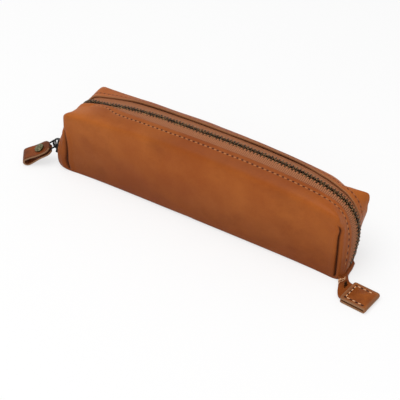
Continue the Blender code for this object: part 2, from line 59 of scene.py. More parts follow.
camera_place, camera_heading, camera_tilt = (0.271, -0.4185, 0.378), 33.6, 53.2
camera_data = bpy.data.cameras.new("camera")
camera_data.lens = 87.57
camera_data.sensor_width = 36.0
camera = bpy.data.objects.new("camera", camera_data)
bpy.context.scene.collection.objects.link(camera)
camera_turn = turn_by(camera_heading, "Z") @ turn_by(camera_tilt, "X")
camera.matrix_world = Matrix.Translation(camera_place) @ camera_turn
bpy.context.scene.camera = camera
print("camera lens", camera_data.lens)

# %% [markdown]
# ## Helpers for modelling by hand
# Operators act on whatever is selected, so each piece starts from an empty selection. A finished
# piece keeps its object at the origin and its place in its mesh, and rides on a body of the frame.


# %% Selecting and naming
def start_clean():
    """Leave edit mode and drop the selection."""
    if bpy.context.object and bpy.context.object.mode != "OBJECT":
        bpy.ops.object.mode_set(mode="OBJECT")
    bpy.ops.object.select_all(action="DESELECT")


def make_active(piece):
    """Select one piece alone."""
    start_clean()
    piece.select_set(True)
    bpy.context.view_layer.objects.active = piece


def new_piece(name):
    """Name the primitive that an operator has just added."""
    piece = bpy.context.object
    piece.name = name
    return piece


def place_in_mesh(piece, place):
    """Put a piece where it belongs, in its mesh."""
    piece.matrix_world = Matrix.Identity(4)
    piece.data.transform(place)
    piece.data.update()


# %% Walls, edges and shading
def apply_all(piece):
    """Apply the piece's modifiers in order."""
    make_active(piece)
    for modifier in list(piece.modifiers):
        bpy.ops.object.modifier_apply(modifier=modifier.name)


def thicken(piece, thickness, offset=-1.0):
    """Give a sheet its thickness."""
    wall = piece.modifiers.new("wall", "SOLIDIFY")
    wall.thickness = thickness
    wall.offset = offset
    wall.use_even_offset = False
    apply_all(piece)


def round_edges(piece, width, segments=2, angle=40):
    """Take the sharpness off a piece's edges."""
    bevel = piece.modifiers.new("edges", "BEVEL")
    bevel.width = width
    bevel.segments = segments
    bevel.limit_method = "ANGLE"
    bevel.angle_limit = math.radians(angle)
    apply_all(piece)


def smooth_shading(piece, angle=50):
    """Shade smoothly across edges flatter than an angle."""
    make_active(piece)
    bpy.ops.object.shade_smooth_by_angle(angle=math.radians(angle))


# %% Handing a piece over to its body
def finish(piece, body, slot, *replaced):
    """Set a piece on its body and hide the solids that it stands for; the slot argument is not used."""
    start_clean()
    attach(piece, body)
    if replaced:
        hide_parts(*replaced)
    print(f"{piece.name}: {len(piece.data.polygons)} faces on {body}")


# %% [markdown]
# ## The shape of the hide as numbers
# The solids of the case were lofted from a coarse cage: a box drawn in toward an arch, with a pulled
# ear at each corner and both ends swung to the front at their feet. The same numbers are repeated
# here, so that the soft skin lies exactly where the solid one is.

# %% Sizes of the hide
seam_half_length, half_depth = 0.100, 0.0185
zip_height, shoulder_height = 0.0562, 0.0505
belly, hide_thickness = 0.0016, 0.0014
zip_half_lengths = {-1: 0.1040, 1: 0.1062}
zip_end_heights = {-1: 0.0475, 1: 0.0525}
draws, swings = {-1: 0.0112, 1: 0.0010}, {-1: 0.0192, 1: 0.0135}
ears = {
    (-1, -1): (0.0452, 0.0024, 0.0016, 2.0),
    (-1, 1): (0.0470, 0.0012, 0.0045, 2.0),
    (1, -1): (0.0452, 0.0, 0.0006, 2.0),
    (1, 1): (0.0402, 0.0012, -0.0020, 1.0),
}
length_shares = (-1, -0.94, -0.76, -0.42, 0, 0.42, 0.76, 0.94, 1)
height_shares = (0, 0.16, 0.40, 0.66, 0.88, 1)
shoulder_share = 0.78
slot_half_width = 0.0062
slot_share = (6 * slot_half_width / half_depth - shoulder_share) / 3
cage_lines = (-1, -shoulder_share, -slot_share, slot_share, shoulder_share, 1)
print("cage:", len(length_shares), "by", len(cage_lines), "by", len(height_shares))


# %% Place of a cage point
def ease(value, end):
    """Fall smoothly from 1 at zero to 0 at the end."""
    left = min(max(1 - value / end, 0), 1)
    return left * left * (3 - 2 * left)


def arch_share(sx, sy, sz):
    """How far a point on a box is drawn in toward the arch of the case's side view."""
    along, across = abs(sx), abs(sy)
    if across == 1 or max(along, sz) == 0:
        return 1.0
    if sx < 0:
        power = 5.0 / (1 - across ** (1.3 if sy < 0 else 0.8))
    else:
        power = 4.5 / (1 - across ** 2.2)
    return max(along, sz) / (along ** power + sz ** power) ** (1 / power)


def cage_point(sx, sy, sz):
    """Place of a point of the cage, from its shares of half length, half depth and height."""
    along, across = abs(sx), abs(sy)
    end, face = (-1 if sx < 0 else 1), (-1 if sy < 0 else 1)
    left = end < 0
    arch = arch_share(sx, sy, sz)
    up = sz * arch
    ear_height, ear_along, ear_across, fall_power = ears[(end, face)]
    ear_pull = along ** 3 * across * up
    shoulder = shoulder_height + (ear_height - shoulder_height) * along ** fall_power
    ridge = zip_height + (zip_end_heights[end] - zip_height) * along ** 2
    crown = across ** 2.5
    half_length = zip_half_lengths[end] + (seam_half_length - zip_half_lengths[end]) * across ** 1.5
    end_zone = max((along * arch - 0.55) / 0.45, 0) ** 2
    bulge = belly * math.sin(math.pi * up) * (1 - along ** 2)
    x = half_length * sx * arch + end * ear_along * ear_pull
    y = half_depth * sy + face * (across * bulge + ear_across * ear_pull)
    z = (ridge * (1 - crown) + shoulder * crown) * up
    swing_weight = 1 + 0.2 * sy - 0.8 * sy ** 2
    draw_weight = (1 - across ** 2.6) * (1 + (0.5 * sy if left else 0))
    swing_share, swing_power = (0.78, 2.0) if left else (0.50, 1.0)
    foot = 1 - (0.25 * ease(up, 0.30) if left else 0)
    y -= swings[end] * foot * swing_weight * ease((up / swing_share) ** swing_power, 1) * end_zone
    x += end * draws[end] * draw_weight * ease(up, 1.30) * end_zone
    return Vector((x, y, z))


print("front left ear of the cage:", [round(value, 4) for value in cage_point(-1, -1, 1)])

# %% [markdown]
# ## A way to find places on the skin
# Stitches, tapes and teeth all follow the skin. They could be pressed onto it with a shrinkwrap, but a
# smooth subdivided surface is a cubic spline between its cage's points, so any place on it can be
# worked out. Stations run along the zip, from the foot of the left end over the top to the foot of the
# right end, and lines run across it.

# %% Stations, lines and the spline
inner_shares = length_shares[1:-1]
stations = [(inner_shares[0], 0)]
stations += [(-1, height) for height in height_shares]
stations += [(share, 1) for share in inner_shares]
stations += [(1, height) for height in reversed(height_shares)]
stations += [(inner_shares[-1], 0)]
cage = np.array([[cage_point(sx, sy, sz) for sy in cage_lines] for sx, sz in stations])
first_station, last_station = 2, len(stations) - 3
centre_line = (len(cage_lines) - 1) / 2


def spline_value(controls, place):
    """Smooth value among evenly numbered control rows."""
    first = math.floor(place)
    t = place - first
    shares = ((1 - t) ** 3, 3 * t ** 3 - 6 * t ** 2 + 4, -3 * t ** 3 + 3 * t ** 2 + 3 * t + 1, t ** 3)
    total = 0
    for step, share in enumerate(shares):
        if share:
            total = total + share / 6 * controls[first - 1 + step]
    return total


def skin_point(station, line):
    """Point of the smooth outer skin."""
    return Vector(spline_value(spline_value(cage, station), line))


def skin_normal(station, line):
    """Outward direction of the skin."""
    run = skin_point(station + 0.02, line) - skin_point(station - 0.02, line)
    side = skin_point(station, line + 0.02) - skin_point(station, line - 0.02)
    return run.cross(side).normalized()


def below_skin(station, line, depth):
    """Point at a depth under the skin, or above it where the depth is negative."""
    return skin_point(station, line) - depth * skin_normal(station, line)


line_numbers = np.linspace(1, len(cage_lines) - 2, 121)
line_places = [spline_value(np.array(cage_lines, float), number) * half_depth for number in line_numbers]


def line_at(distance):
    """Line across the zip at a distance from its centre, negative to the front."""
    return float(np.interp(distance, line_places, line_numbers))


print("stations:", first_station, "to", last_station)
print("edge of the slot on line", round(line_at(-slot_half_width), 3))


# %% Lengths and directions
def run_lengths(points):
    """Length along a row of points, from the first to each."""
    lengths = [0.0]
    for a, b in zip(points, points[1:]):
        lengths.append(lengths[-1] + (b - a).length)
    return lengths


def facing(run, out):
    """Turn that lays X along a run and Z outward."""
    return Matrix((run, out.cross(run), out)).transposed().to_4x4()


# %% The zip's centre line as a route
class Route:
    """The zip's centre line, with the side and outward directions on it."""

    def __init__(self, first, last):
        marks = [first + step / 2 for step in range(int(2 * (last - first)) + 1)]
        self.points = [skin_point(mark, centre_line) for mark in marks]
        self.out = [skin_normal(mark, centre_line) for mark in marks]
        self.side = []
        for mark, out in zip(marks, self.out):
            across = skin_point(mark, centre_line + 0.3) - skin_point(mark, centre_line - 0.3)
            self.side.append((across - across.dot(out) * out).normalized())
        self.lengths = run_lengths(self.points)

    def step_at(self, length):
        """Chord and share of it at a length."""
        length = min(max(length, 0), self.lengths[-1])
        step = int(np.searchsorted(self.lengths, length, side="right")) - 1
        step = min(step, len(self.points) - 2)
        return step, (length - self.lengths[step]) / (self.lengths[step + 1] - self.lengths[step])

    def place(self, length, sideways=0.0, depth=0.0):
        """Point at a length along the route, moved to the side and below the skin."""
        step, t = self.step_at(length)
        ends = [self.points[i] + sideways * self.side[i] - depth * self.out[i] for i in (step, step + 1)]
        return ends[0].lerp(ends[1], t)

    def frame(self, length, depth=0.0):
        """Placement at a length: X along the zip, Y to the back, Z out of the skin."""
        step, t = self.step_at(length)
        reach = 0.002
        run = (self.place(length + reach) - self.place(length - reach)).normalized()
        side = self.side[step].lerp(self.side[step + 1], t)
        out = run.cross(side).normalized()
        return Matrix.Translation(self.place(length, 0, depth)) @ facing(run, out)


slider_height, slider_length = 0.0138, 0.0094
route = Route(first_station, last_station)
slider_at = 0.0
for number, (a, b) in enumerate(zip(route.points, route.points[1:])):
    if a.z <= slider_height < b.z and not slider_at:
        slider_at = route.lengths[number] + (slider_height - a.z) / (b.z - a.z) * (b - a).length
print(f"zip {route.lengths[-1]:.3f} m long, slider at {slider_at:.4f} m")

# %% [markdown]
# ## The hide
# Body, ends and base are one piece of soft vegetable-tanned leather, with a slot for the zip and a
# boxed corner sewn at each end of both faces. A cube is cut along the cage's lines with bisect, its
# points are pulled to their places, and a subdivision surface makes the soft skin. Modelling the skin
# by hand would not land on the solid one, which is why its points come from the numbers above. Each
# point keeps its shares of the cage as attributes, because the steps after this one go by them.


# %% The coarse cage of the hide
def write_layer(piece, name, values):
    """A new attribute with one value for each point."""
    layer = piece.data.attributes.new(name, "FLOAT", "POINT")
    layer.data.foreach_set("value", values)


start_clean()
bpy.ops.mesh.primitive_cube_add(size=2, location=(0, 0, 0))
case_hide = new_piece("case_hide")
bpy.ops.object.mode_set(mode="EDIT")
bpy.ops.mesh.select_all(action="SELECT")
bpy.ops.transform.resize(value=(1, 1, 0.5))
bpy.ops.transform.translate(value=(0, 0, 0.5))
planes = [((share, 0, 0), (1, 0, 0)) for share in inner_shares]
planes += [((0, share, 0), (0, 1, 0)) for share in cage_lines[1:-1]]
planes += [((0, 0, share), (0, 0, 1)) for share in height_shares[1:-1]]
for centre, direction in planes:
    bpy.ops.mesh.select_all(action="SELECT")
    bpy.ops.mesh.bisect(plane_co=centre, plane_no=direction)
bpy.ops.object.mode_set(mode="OBJECT")
zip_slot = bpy.data.materials.new("zip_slot")
case_hide.data.materials.append(zip_slot)
case_hide.data.materials.append(zip_slot)
for face in case_hide.data.polygons:
    face.material_index = int(abs(face.center.y) < slot_share and face.center.z > height_shares[1])
shares = [tuple(round(value, 4) for value in vertex.co) for vertex in case_hide.data.vertices]
for name, axis in (("along", 0), ("across", 1), ("up", 2)):
    write_layer(case_hide, name, [share[axis] for share in shares])
for vertex, share in zip(case_hide.data.vertices, shares):
    vertex.co = cage_point(*share)
print("cage points:", len(shares))

# %% The smooth skin with its slot
hide_levels = 4
smooth = case_hide.modifiers.new("smooth", "SUBSURF")
smooth.levels = smooth.render_levels = hide_levels
apply_all(case_hide)
bpy.ops.object.mode_set(mode="EDIT")
bpy.ops.mesh.select_all(action="DESELECT")
bpy.ops.object.mode_set(mode="OBJECT")
for face in case_hide.data.polygons:
    face.select = face.material_index == 1
bpy.ops.object.mode_set(mode="EDIT")
bpy.ops.mesh.select_mode(type="FACE")
bpy.ops.mesh.delete(type="FACE")
bpy.ops.object.mode_set(mode="OBJECT")
print("skin:", len(case_hide.data.polygons), "faces")

# %% [markdown]
# ## Moving the skin in code
# Seams, rolled edges and soft waves could be brushed in sculpt mode, but a brush needs a window. So
# each point is moved in code, by hills and ramps that follow its shares of the cage.


# %% Hills and ramps
def read_layer(piece, name):
    """Values of one attribute."""
    values = np.zeros(len(piece.data.vertices))
    piece.data.attributes[name].data.foreach_get("value", values)
    return values


def bump(distance, width):
    """Smooth hill, 1 at no distance."""
    return np.exp(-((distance / width) ** 2))


def ramp(value, low, high):
    """0 below low, 1 above high, smooth between."""
    t = np.clip((value - low) / (high - low), 0, 1)
    return t * t * (3 - 2 * t)


# %% [markdown]
# ## How the edges and the chain wander
# On the real case the leather's two edges aren't parallel: they swing to the back behind the left
# corner, and the chain lies between them in a soft bow. Each is a table of moves toward the back, in
# metres, at shares along the zip: -2 is the left foot, -1 and 1 are the ends of the top, and 2 is the
# right foot. The tables were set against the photograph.

# %% Tables of the edges and the chain
front_edge = (
    (-2, 0), (-1.2, 0), (-1.0, 0.0036), (-0.88, 0.0060), (-0.79, 0.0060), (-0.72, 0.0046), (-0.60, 0.0022),
    (-0.45, 0.0006), (-0.25, -0.0009), (0, -0.0015), (0.5, -0.0014), (0.8, -0.0010), (1.0, -0.0006),
    (1.3, -0.0010), (1.6, -0.0014), (2, -0.0010),
)
back_edge = (
    (-2, 0), (-1.2, 0), (-0.9, 0.0022), (-0.81, 0.0032), (-0.67, 0.0057), (-0.53, 0.0058), (-0.39, 0.0050),
    (-0.17, 0.0040), (0.04, 0.0034), (0.47, 0.0037), (0.61, 0.0034), (0.72, 0.0022), (0.88, -0.0004),
    (1.05, -0.0016), (1.2, -0.0021), (1.35, -0.0020), (1.55, -0.0010), (2, -0.0010),
)
chain_line = (
    (-2, 0), (-0.92, 0), (-0.75, 0.0010), (-0.60, 0.0020), (-0.45, 0.0021), (-0.25, 0.0013), (0, 0.0007),
    (0.5, 0.0009), (0.75, 0.0004), (0.95, -0.0002), (1.1, 0.0002), (1.35, 0.0010), (1.55, 0.0018),
    (1.7, 0.0019), (1.84, 0.0012), (2, 0.0008),
)


def wander(table, share):
    """Sideways move at a share along the zip, with the table's corners rounded."""
    places, moves = zip(*table)
    steps = (-0.08, -0.04, 0, 0.04, 0.08)
    return sum(np.interp(np.asarray(share) + step, places, moves) for step in steps) / len(steps)


zip_shares = [sx + math.copysign(1 - sz, sx) for sx, sz in stations[1:-1]]
zip_numbers = list(range(1, len(stations) - 1))
route_marks = [first_station + step / 2 for step in range(len(route.points))]


def share_at(station):
    """Share along the zip at a station."""
    return float(np.interp(station, zip_numbers, zip_shares))


def side_at(share):
    """Sideways direction of the zip at shares along it."""
    marks = np.interp(share, zip_shares, zip_numbers)
    parts = [np.interp(marks, route_marks, [side[axis] for side in route.side]) for axis in range(3)]
    return np.stack(parts, -1)


def shares_at(station, line):
    """Shares along the zip, along, across and up at a place of the skin."""
    share = share_at(station)
    across = float(np.interp(line, range(len(cage_lines)), cage_lines))
    return [np.array([value]) for value in (share, min(max(share, -1), 1), across, min(2 - abs(share), 1))]


# %% Pulls at the corners and the right foot
back_dip, ear_tip, end_hollow = 0.0034, 0.0016, 0.0028
left_roll, left_swell, slot_drop, foot_hollow = 0.0030, 0.0009, 0.0062, 0.0018
edge_lift = 0.0010


def corner_pull(share, along, across, up):
    """Moves where the leather and the tape are pulled in or out at the ends."""
    move = np.zeros((len(along), 3))
    back, top, right_end = ramp(across, 0.40, 0.95), ramp(up, 0.70, 0.97), ramp(along, 0.9, 1.0)
    move[..., 2] -= back_dip * bump(along - 0.885, 0.060) * back * top
    tip = ear_tip * bump(along - 1.0, 0.040) * ramp(across, 0.6, 1.0) * top
    move[..., 2] += tip
    move[..., 0] += tip
    move[..., 0] -= end_hollow * right_end * bump(up - 0.42, 0.24) * ramp(across, 0.15, 0.6)
    move[..., 2] += left_roll * bump(share + 1.02, 0.11) * bump(across + 0.15, 0.50)
    move[..., 2] += left_swell * bump(share + 0.84, 0.10) * bump(across + 0.45, 0.35)
    foot = ramp(up, 0.0, 0.17) * (1 - ramp(up, 0.17, 0.60)) * (1 - ramp(np.abs(across), 0.45, 0.90))
    move[..., 2] -= slot_drop * right_end * foot
    move[..., 0] -= foot_hollow * right_end * bump(up - 0.16, 0.16) * ramp(across, -0.6, 0.1)
    return move


def leather_move(share, along, across, up, normal):
    """Moves of the leather from the plain skin: its edges beside the zip and its pulled corners."""
    edge = slot_half_width / half_depth
    reach = (1 - ramp(np.abs(across), edge, 0.92)) * ramp(up, 0.02, 0.2)
    sideways = np.where(across > 0, wander(back_edge, share), wander(front_edge, share)) * reach
    side = side_at(share)
    side = side - (side * normal).sum(-1, keepdims=True) * normal
    lift = edge_lift * bump(share + 1.01, 0.09) * (1 - ramp(np.abs(across), edge, 0.80)) * (across < 0)
    return side * sideways[..., None] + normal * lift[..., None] + corner_pull(share, along, across, up)


# %% [markdown]
# ## Seams, the sewing's channel and soft waves
# The sewn corners pull the leather in along a line at each end, and beside that line it stands proud.
# The stitching beside the zip presses a shallow channel. A used hide is never quite even either, so
# low waves of noise run over it all. Each point is moved along its normal by the sum of them, and then
# goes with the edges and the pulled corners.

# %% Sizes of the seams and the waves
seam_tops = {(-1, -1): 0.033, (-1, 1): 0.034, (1, -1): 0.0395, (1, 1): 0.034}
# The last width is that of the painted shade along each seam's groove.
groove_depth, groove_width, seam_shade_width = 0.0014, 0.0007, 0.0008
puff_heights, puff_distance, puff_width = {-1: 0.0009, 1: 0.0005}, 0.0026, 0.0015
stitch_distance, channel_depth, channel_width = slot_half_width + 0.0036, 0.00022, 0.0007
wave_height = 0.00035


def skin_wave(point):
    """Small waves of the soft leather at a place."""
    return noise.noise(point * 38) + 0.5 * noise.noise(point * 90)


def seam_bow(end, height):
    """How far a corner seam bends from the corner toward the long side, at a height."""
    if end > 0:
        return 0.0016 * bump(height - 0.0395, 0.0012) - 0.0012 * bump(height - 0.0350, 0.0030)
    return 0.0005 * bump(height - 0.0240, 0.0060) - 0.0011 * bump(height - 0.0080, 0.0050)


def sewing_distance(share, side):
    """Distance of the sewing from the zip's middle, less at the front's upper left corner."""
    return stitch_distance - (0.0019 * bump(share + 0.83, 0.11) if side < 0 else 0)


# %% Moving every point of the skin
along, across, up = (read_layer(case_hide, name) for name in ("along", "across", "up"))
shares = along + np.copysign(1 - up, along)
normals = [vertex.normal.copy() for vertex in case_hide.data.vertices]
moves = leather_move(shares, along, across, up, np.array(normals))
seam_shade_and_rub = np.zeros(len(along))
for vertex in case_hide.data.vertices:
    i = vertex.index
    end, face = (-1 if along[i] < 0 else 1), (-1 if across[i] < 0 else 1)
    from_corner = (1 - abs(along[i])) * seam_half_length - (1 - abs(across[i])) * half_depth
    from_corner -= seam_bow(end, vertex.co.z)
    top = seam_tops[(end, face)]
    seam = float((1 - ramp(vertex.co.z, top - 0.004, top + 0.001)) * ramp(up[i], 0, 0.03))
    # Painted shade: the seam's groove is marked here, and the finish darkens it.
    seam_shade_and_rub[i] = seam * bump(from_corner, seam_shade_width)
    puffs = bump(from_corner - puff_distance, puff_width) + bump(from_corner + puff_distance, puff_width)
    move = seam * (puff_heights[end] * puffs - groove_depth * bump(from_corner, groove_width))
    if up[i] > 0.2:
        from_sewing = abs(abs(across[i]) * half_depth - sewing_distance(shares[i], face))
        move -= channel_depth * bump(from_sewing, channel_width)
    move += wave_height * skin_wave(vertex.co) * ramp(vertex.co.z, 0.002, 0.012)
    vertex.co = vertex.co + normals[i] * float(move) + Vector(moves[i])
case_hide.data.update()
print("deepest crease weight", round(float(seam_shade_and_rub.max()), 2))

# %% Marks for the painted seam shade and the pale cut edge
write_layer(case_hide, "seam_shade_and_rub", seam_shade_and_rub)
edge_uses = {}
for face in case_hide.data.polygons:
    for key in face.edge_keys:
        edge_uses[key] = edge_uses.get(key, 0) + 1
rim = {index for key, uses in edge_uses.items() if uses == 1 for index in key}
write_layer(case_hide, "cut_edge", [0.6 if i in rim and across[i] > 0 else 0.0 for i in range(len(across))])
print("points on the slot's edge:", len(rim))

# %% The hide's thickness
# The inner side may dip under the floor at the foot, so it is set back on the floor.
thicken(case_hide, hide_thickness)
for vertex in case_hide.data.vertices:
    vertex.co.z = max(vertex.co.z, 0)
case_hide.data.shade_smooth()
finish(case_hide, "case", "leather", "hide")

# %% [markdown]
# ## Sheets that follow the skin
# The tapes and the tail are sheets lofted between rows of points. One helper makes such a sheet, with
# a UV map in metres, so that a weave can follow it.


# %% Sheet between rows
def mesh_piece(name, points, faces):
    """A new piece from points and faces."""
    mesh = bpy.data.meshes.new(name)
    mesh.from_pydata([tuple(point) for point in points], [], faces)
    mesh.update()
    piece = bpy.data.objects.new(name, mesh)
    bpy.context.scene.collection.objects.link(piece)
    return piece


def sheet_piece(name, rows, thickness):
    """A sheet through rows of points, its outer side along the run of rows crossed with the points."""
    columns = len(rows[0])
    points = [point for row in rows for point in row]
    faces = []
    for r in range(len(rows) - 1):
        for c in range(columns - 1):
            a = r * columns + c
            faces.append((a, a + columns, a + columns + 1, a + 1))
    piece = mesh_piece(name, points, faces)
    runs = run_lengths([row[columns // 2] for row in rows])
    sides = run_lengths(rows[len(rows) // 2])
    uv = piece.data.uv_layers.new(name="weave")
    for face in piece.data.polygons:
        for loop in face.loop_indices:
            r, c = divmod(piece.data.loops[loop].vertex_index, columns)
            uv.data[loop].uv = (sides[c], runs[r])
    thicken(piece, thickness)
    return piece


def stations_between(first, last, parts=4):
    """Stations from one to another, with each step cut in equal parts."""
    return [first + step / parts for step in range(int(round(parts * (last - first))) + 1)]


# %% [markdown]
# ## The zip's two tapes
# Each tape is woven, about 15 mm wide, and sewn under the hide. Only the strip beside the teeth shows.
# A flat plane would have to be bent along the zip, so the tape is lofted in place: from the middle of
# the teeth down to the leather's flesh side, wandering as the chain does. Its weave is a material.

# %% Zip tapes
# Each place of the spread is a distance from the zip's middle and a depth under the skin.
tape_depth, tape_thickness, tape_half_gap = hide_thickness + 0.0003, 0.0006, 0.0013
corner_sink = 0.0004
tape_spread = (
    (tape_half_gap, 0.0005), (0.0024, 0.0006), (0.0036, 0.0009), (0.0050, 0.0014), (0.0085, 0.0017),
    (0.0110, 0.0017), (line_places[-1] - 0.0003, 0.0019),
)
print("tapes reach", round(tape_spread[-1][0], 4))


def tape_point(mark, distance, depth):
    """Point of a tape at a distance from the zip's middle, moved as the chain wanders."""
    share = share_at(mark)
    near_slider = 1 - float(ramp(share, -1.35, -1.1))
    depth = depth + (tape_depth - depth) * near_slider
    if distance < 0:
        depth += corner_sink * float(bump(share + 1.0, 0.09))
    line = line_at(distance)
    drift = float(wander(chain_line, share)) * (1 - float(ramp(abs(distance), 0.003, 0.011)))
    pull = Vector(corner_pull(*shares_at(mark, line))[0])
    return below_skin(mark, line, depth) + Vector(side_at(share)) * drift + pull


for tag, side in (("front", -1), ("back", 1)):
    spread = sorted((side * distance, depth) for distance, depth in tape_spread)
    marks = stations_between(first_station - 0.5, last_station + 0.5)
    rows = [[tape_point(mark, *place) for place in spread] for mark in marks]
    tape = sheet_piece(f"woven_tape_{tag}", rows, tape_thickness)
    smooth_shading(tape)
    finish(tape, "case", "woven_tape", f"zip_tape_{tag}")

# %% [markdown]
# ## The zip's teeth
# A metal tooth is clamped over the tape's edge and reaches past the middle, between two teeth of the
# other row. One tooth is modelled from a cube: its outer end is narrowed and its edges are rounded.
# Then it is repeated along the zip, because a real chain is one tooth hundreds of times over.

# %% One tooth
tooth_pitch, tooth_reach, tooth_outer = 0.0024, 0.0006, 0.0026
tooth_width, tooth_height, tooth_waist = 0.00106, 0.0013, 0.0007
start_clean()
bpy.ops.mesh.primitive_cube_add(size=1, location=(0, 0, 0))
tooth = new_piece("tooth_pattern")
tooth.scale = (tooth_width, tooth_outer + tooth_reach, tooth_height)
bpy.ops.object.transform_apply(location=False, rotation=False, scale=True)
bpy.ops.object.mode_set(mode="EDIT")
bpy.ops.mesh.select_all(action="SELECT")
bpy.ops.transform.translate(value=(0, (tooth_outer - tooth_reach) / 2, 0))
bpy.ops.mesh.select_all(action="SELECT")
bpy.ops.mesh.bisect(plane_co=(0, tooth_waist, 0), plane_no=(0, 1, 0))
bpy.ops.object.mode_set(mode="OBJECT")
for vertex in tooth.data.vertices:
    if vertex.co.y > tooth_waist - 0.0001:
        vertex.co.x *= 0.88
        if vertex.co.y > tooth_outer - 0.0001:
            vertex.co.z *= 0.65
    elif vertex.co.y < 0:
        vertex.co.x *= 0.85
round_edges(tooth, 0.00022, 2)
print("one tooth:", len(tooth.data.polygons), "faces")


# %% Repeating a piece
def repeat_piece(name, pattern, places):
    """One piece made of copies of a pattern's mesh at each place."""
    base = np.array([vertex.co[:] for vertex in pattern.data.vertices])
    faces = [tuple(face.vertices) for face in pattern.data.polygons]
    points, all_faces = [], []
    for number, place in enumerate(places):
        matrix = np.array(place)
        points.append(base @ matrix[:3, :3].T + matrix[:3, 3])
        shift = number * len(base)
        all_faces += [tuple(i + shift for i in face) for face in faces]
    return mesh_piece(name, np.concatenate(points), all_faces)


# %% The chain's own line
# The chain starts behind the slider's plates and is moved from the centre line as the tapes are.
half_slider = slider_length / 2
first_tooth = slider_at - half_slider + 0.0026
chain = Route(first_station, last_station + 0.5)
for number, point in enumerate(chain.points):
    mark = first_station + number / 2
    share = share_at(mark)
    point += Vector(side_at(share)) * float(wander(chain_line, share))
    point += Vector(corner_pull(*shares_at(mark, centre_line))[0])
chain.lengths = run_lengths(chain.points)
print("chain:", round(chain.lengths[-1], 4), "m long")

# %% Both rows of teeth
tooth_count = int((chain.lengths[-1] - first_tooth) / tooth_pitch) - 1
print("teeth in a row:", tooth_count)
half_turn = Matrix.Rotation(math.pi, 4, "Z")
for tag, side, shift in (("front", -1, 0.0), ("back", 1, 0.5)):
    places = []
    for number in range(tooth_count):
        length = first_tooth + (number + shift + 0.5) * tooth_pitch
        place = chain.frame(length, 0.0001 + tooth_height / 2)
        places.append(place @ half_turn if side < 0 else place)
    row = repeat_piece(f"teeth_{tag}", tooth, places)
    smooth_shading(row, 40)
    finish(row, "case", "antique_brass", f"zip_teeth_{tag}")
bpy.data.objects.remove(tooth, do_unlink=True)

# %% [markdown]
# ## Sewing beside the zip
# The hide is sewn to the tapes with a thick waxed thread, in stitches 3.4 mm apart. Each stitch lies in
# the channel like a small bead and dives into a pricked hole at both ends. One stitch is a short
# rounded bar, copied along the seam, because a single long thread would need thousands of faces. The
# stitches go where the leather's edge goes, and none show where the front's upper left corner rolls.
# The holes aren't cut: each is a thin dark disc of painted shade, laid on the leather between stitches.

# %% One stitch and its hole
stitch_pitch, stitch_length, hole_radius = 0.00345, 0.0021, 0.00075
thread_width, thread_height = 0.00075, 0.0005
start_clean()
bpy.ops.mesh.primitive_uv_sphere_add(segments=8, ring_count=6, radius=0.5, location=(0, 0, 0))
stitch = new_piece("stitch_pattern")
stitch.scale = (stitch_length, thread_width, thread_height)
bpy.ops.object.transform_apply(location=False, rotation=False, scale=True)
# The hole is a thin dark disc: painted shade where the thread dives in.
start_clean()
bpy.ops.mesh.primitive_cylinder_add(vertices=10, radius=hole_radius, depth=0.0002, location=(0, 0, 0))
hole = new_piece("hole_shade_pattern")
round_edges(hole, 0.00006, 1)
print("one stitch:", len(stitch.data.polygons), "faces")


# %% Places on the moved leather
def leather_point(station, line, depth):
    """Point on the moved leather at a station and a line, at a depth under its face."""
    values = shares_at(station, line)
    normal = skin_normal(station, line)
    lift = wave_height * skin_wave(skin_point(station, line)) - channel_depth
    move = Vector(leather_move(*values, np.array([normal]))[0])
    return below_skin(station, line, depth) + normal * lift + move


def skin_frame(station, line, depth, turn=0.0):
    """Placement on the leather: X along the zip, Z out."""
    run = (leather_point(station + 0.03, line, 0) - leather_point(station - 0.03, line, 0)).normalized()
    side = (leather_point(station, line + 0.03, 0) - leather_point(station, line - 0.03, 0)).normalized()
    out = run.cross(side).normalized()
    place = Matrix.Translation(leather_point(station, line, depth)) @ facing(run, out)
    return place @ Matrix.Rotation(turn, 4, "Z")


def even_marks(line, first, last, pitch):
    """Stations at even distances along a line of the skin."""
    marks = stations_between(first, last, 16)
    lengths = run_lengths([skin_point(mark, line) for mark in marks])
    count = int(lengths[-1] / pitch)
    return [float(np.interp(pitch * (step + 0.5), lengths, marks)) for step in range(count)]


def sewing_line(mark, side):
    """The cage line of the sewing at a station."""
    return line_at(side * float(sewing_distance(share_at(mark), side)))


def is_hidden(mark):
    """Whether a front stitch lies where the corner rolls over."""
    return -1.08 < share_at(mark) < -0.92


# %% Rows of stitches
for tag, side in (("front", -1), ("back", 1)):
    line = line_at(side * stitch_distance)
    marks = even_marks(line, first_station + 0.6, last_station - 0.4, stitch_pitch)
    marks = [mark for mark in marks if side > 0 or not is_hidden(mark)]
    places = [skin_frame(mark, sewing_line(mark, side), -0.00006, 0.06) for mark in marks]
    seam_thread = repeat_piece(f"seam_thread_{tag}", stitch, places)
    smooth_shading(seam_thread, 60)
    finish(seam_thread, "case", "thread", f"zip_stitch_{tag}")
    # Dark discs of painted shade mark the holes between the stitches.
    between = [float((a + b) / 2) for a, b in zip(marks, marks[1:]) if b - a < 1]
    places = [skin_frame(mark, sewing_line(mark, side), -0.00002) for mark in between]
    seam_holes = repeat_piece(f"seam_holes_{tag}", hole, places)
    finish(seam_holes, "case", "leather")

# %% [markdown]
# ## The zip pull
# A strip of the same leather is folded into a loop, and a rivet holds its two ends over the wire link.
# The strip is extruded step by step along its bent path, as it would be folded by hand. It is made at
# the origin and then laid in its place, which follows from the slider's place and the link's turns.

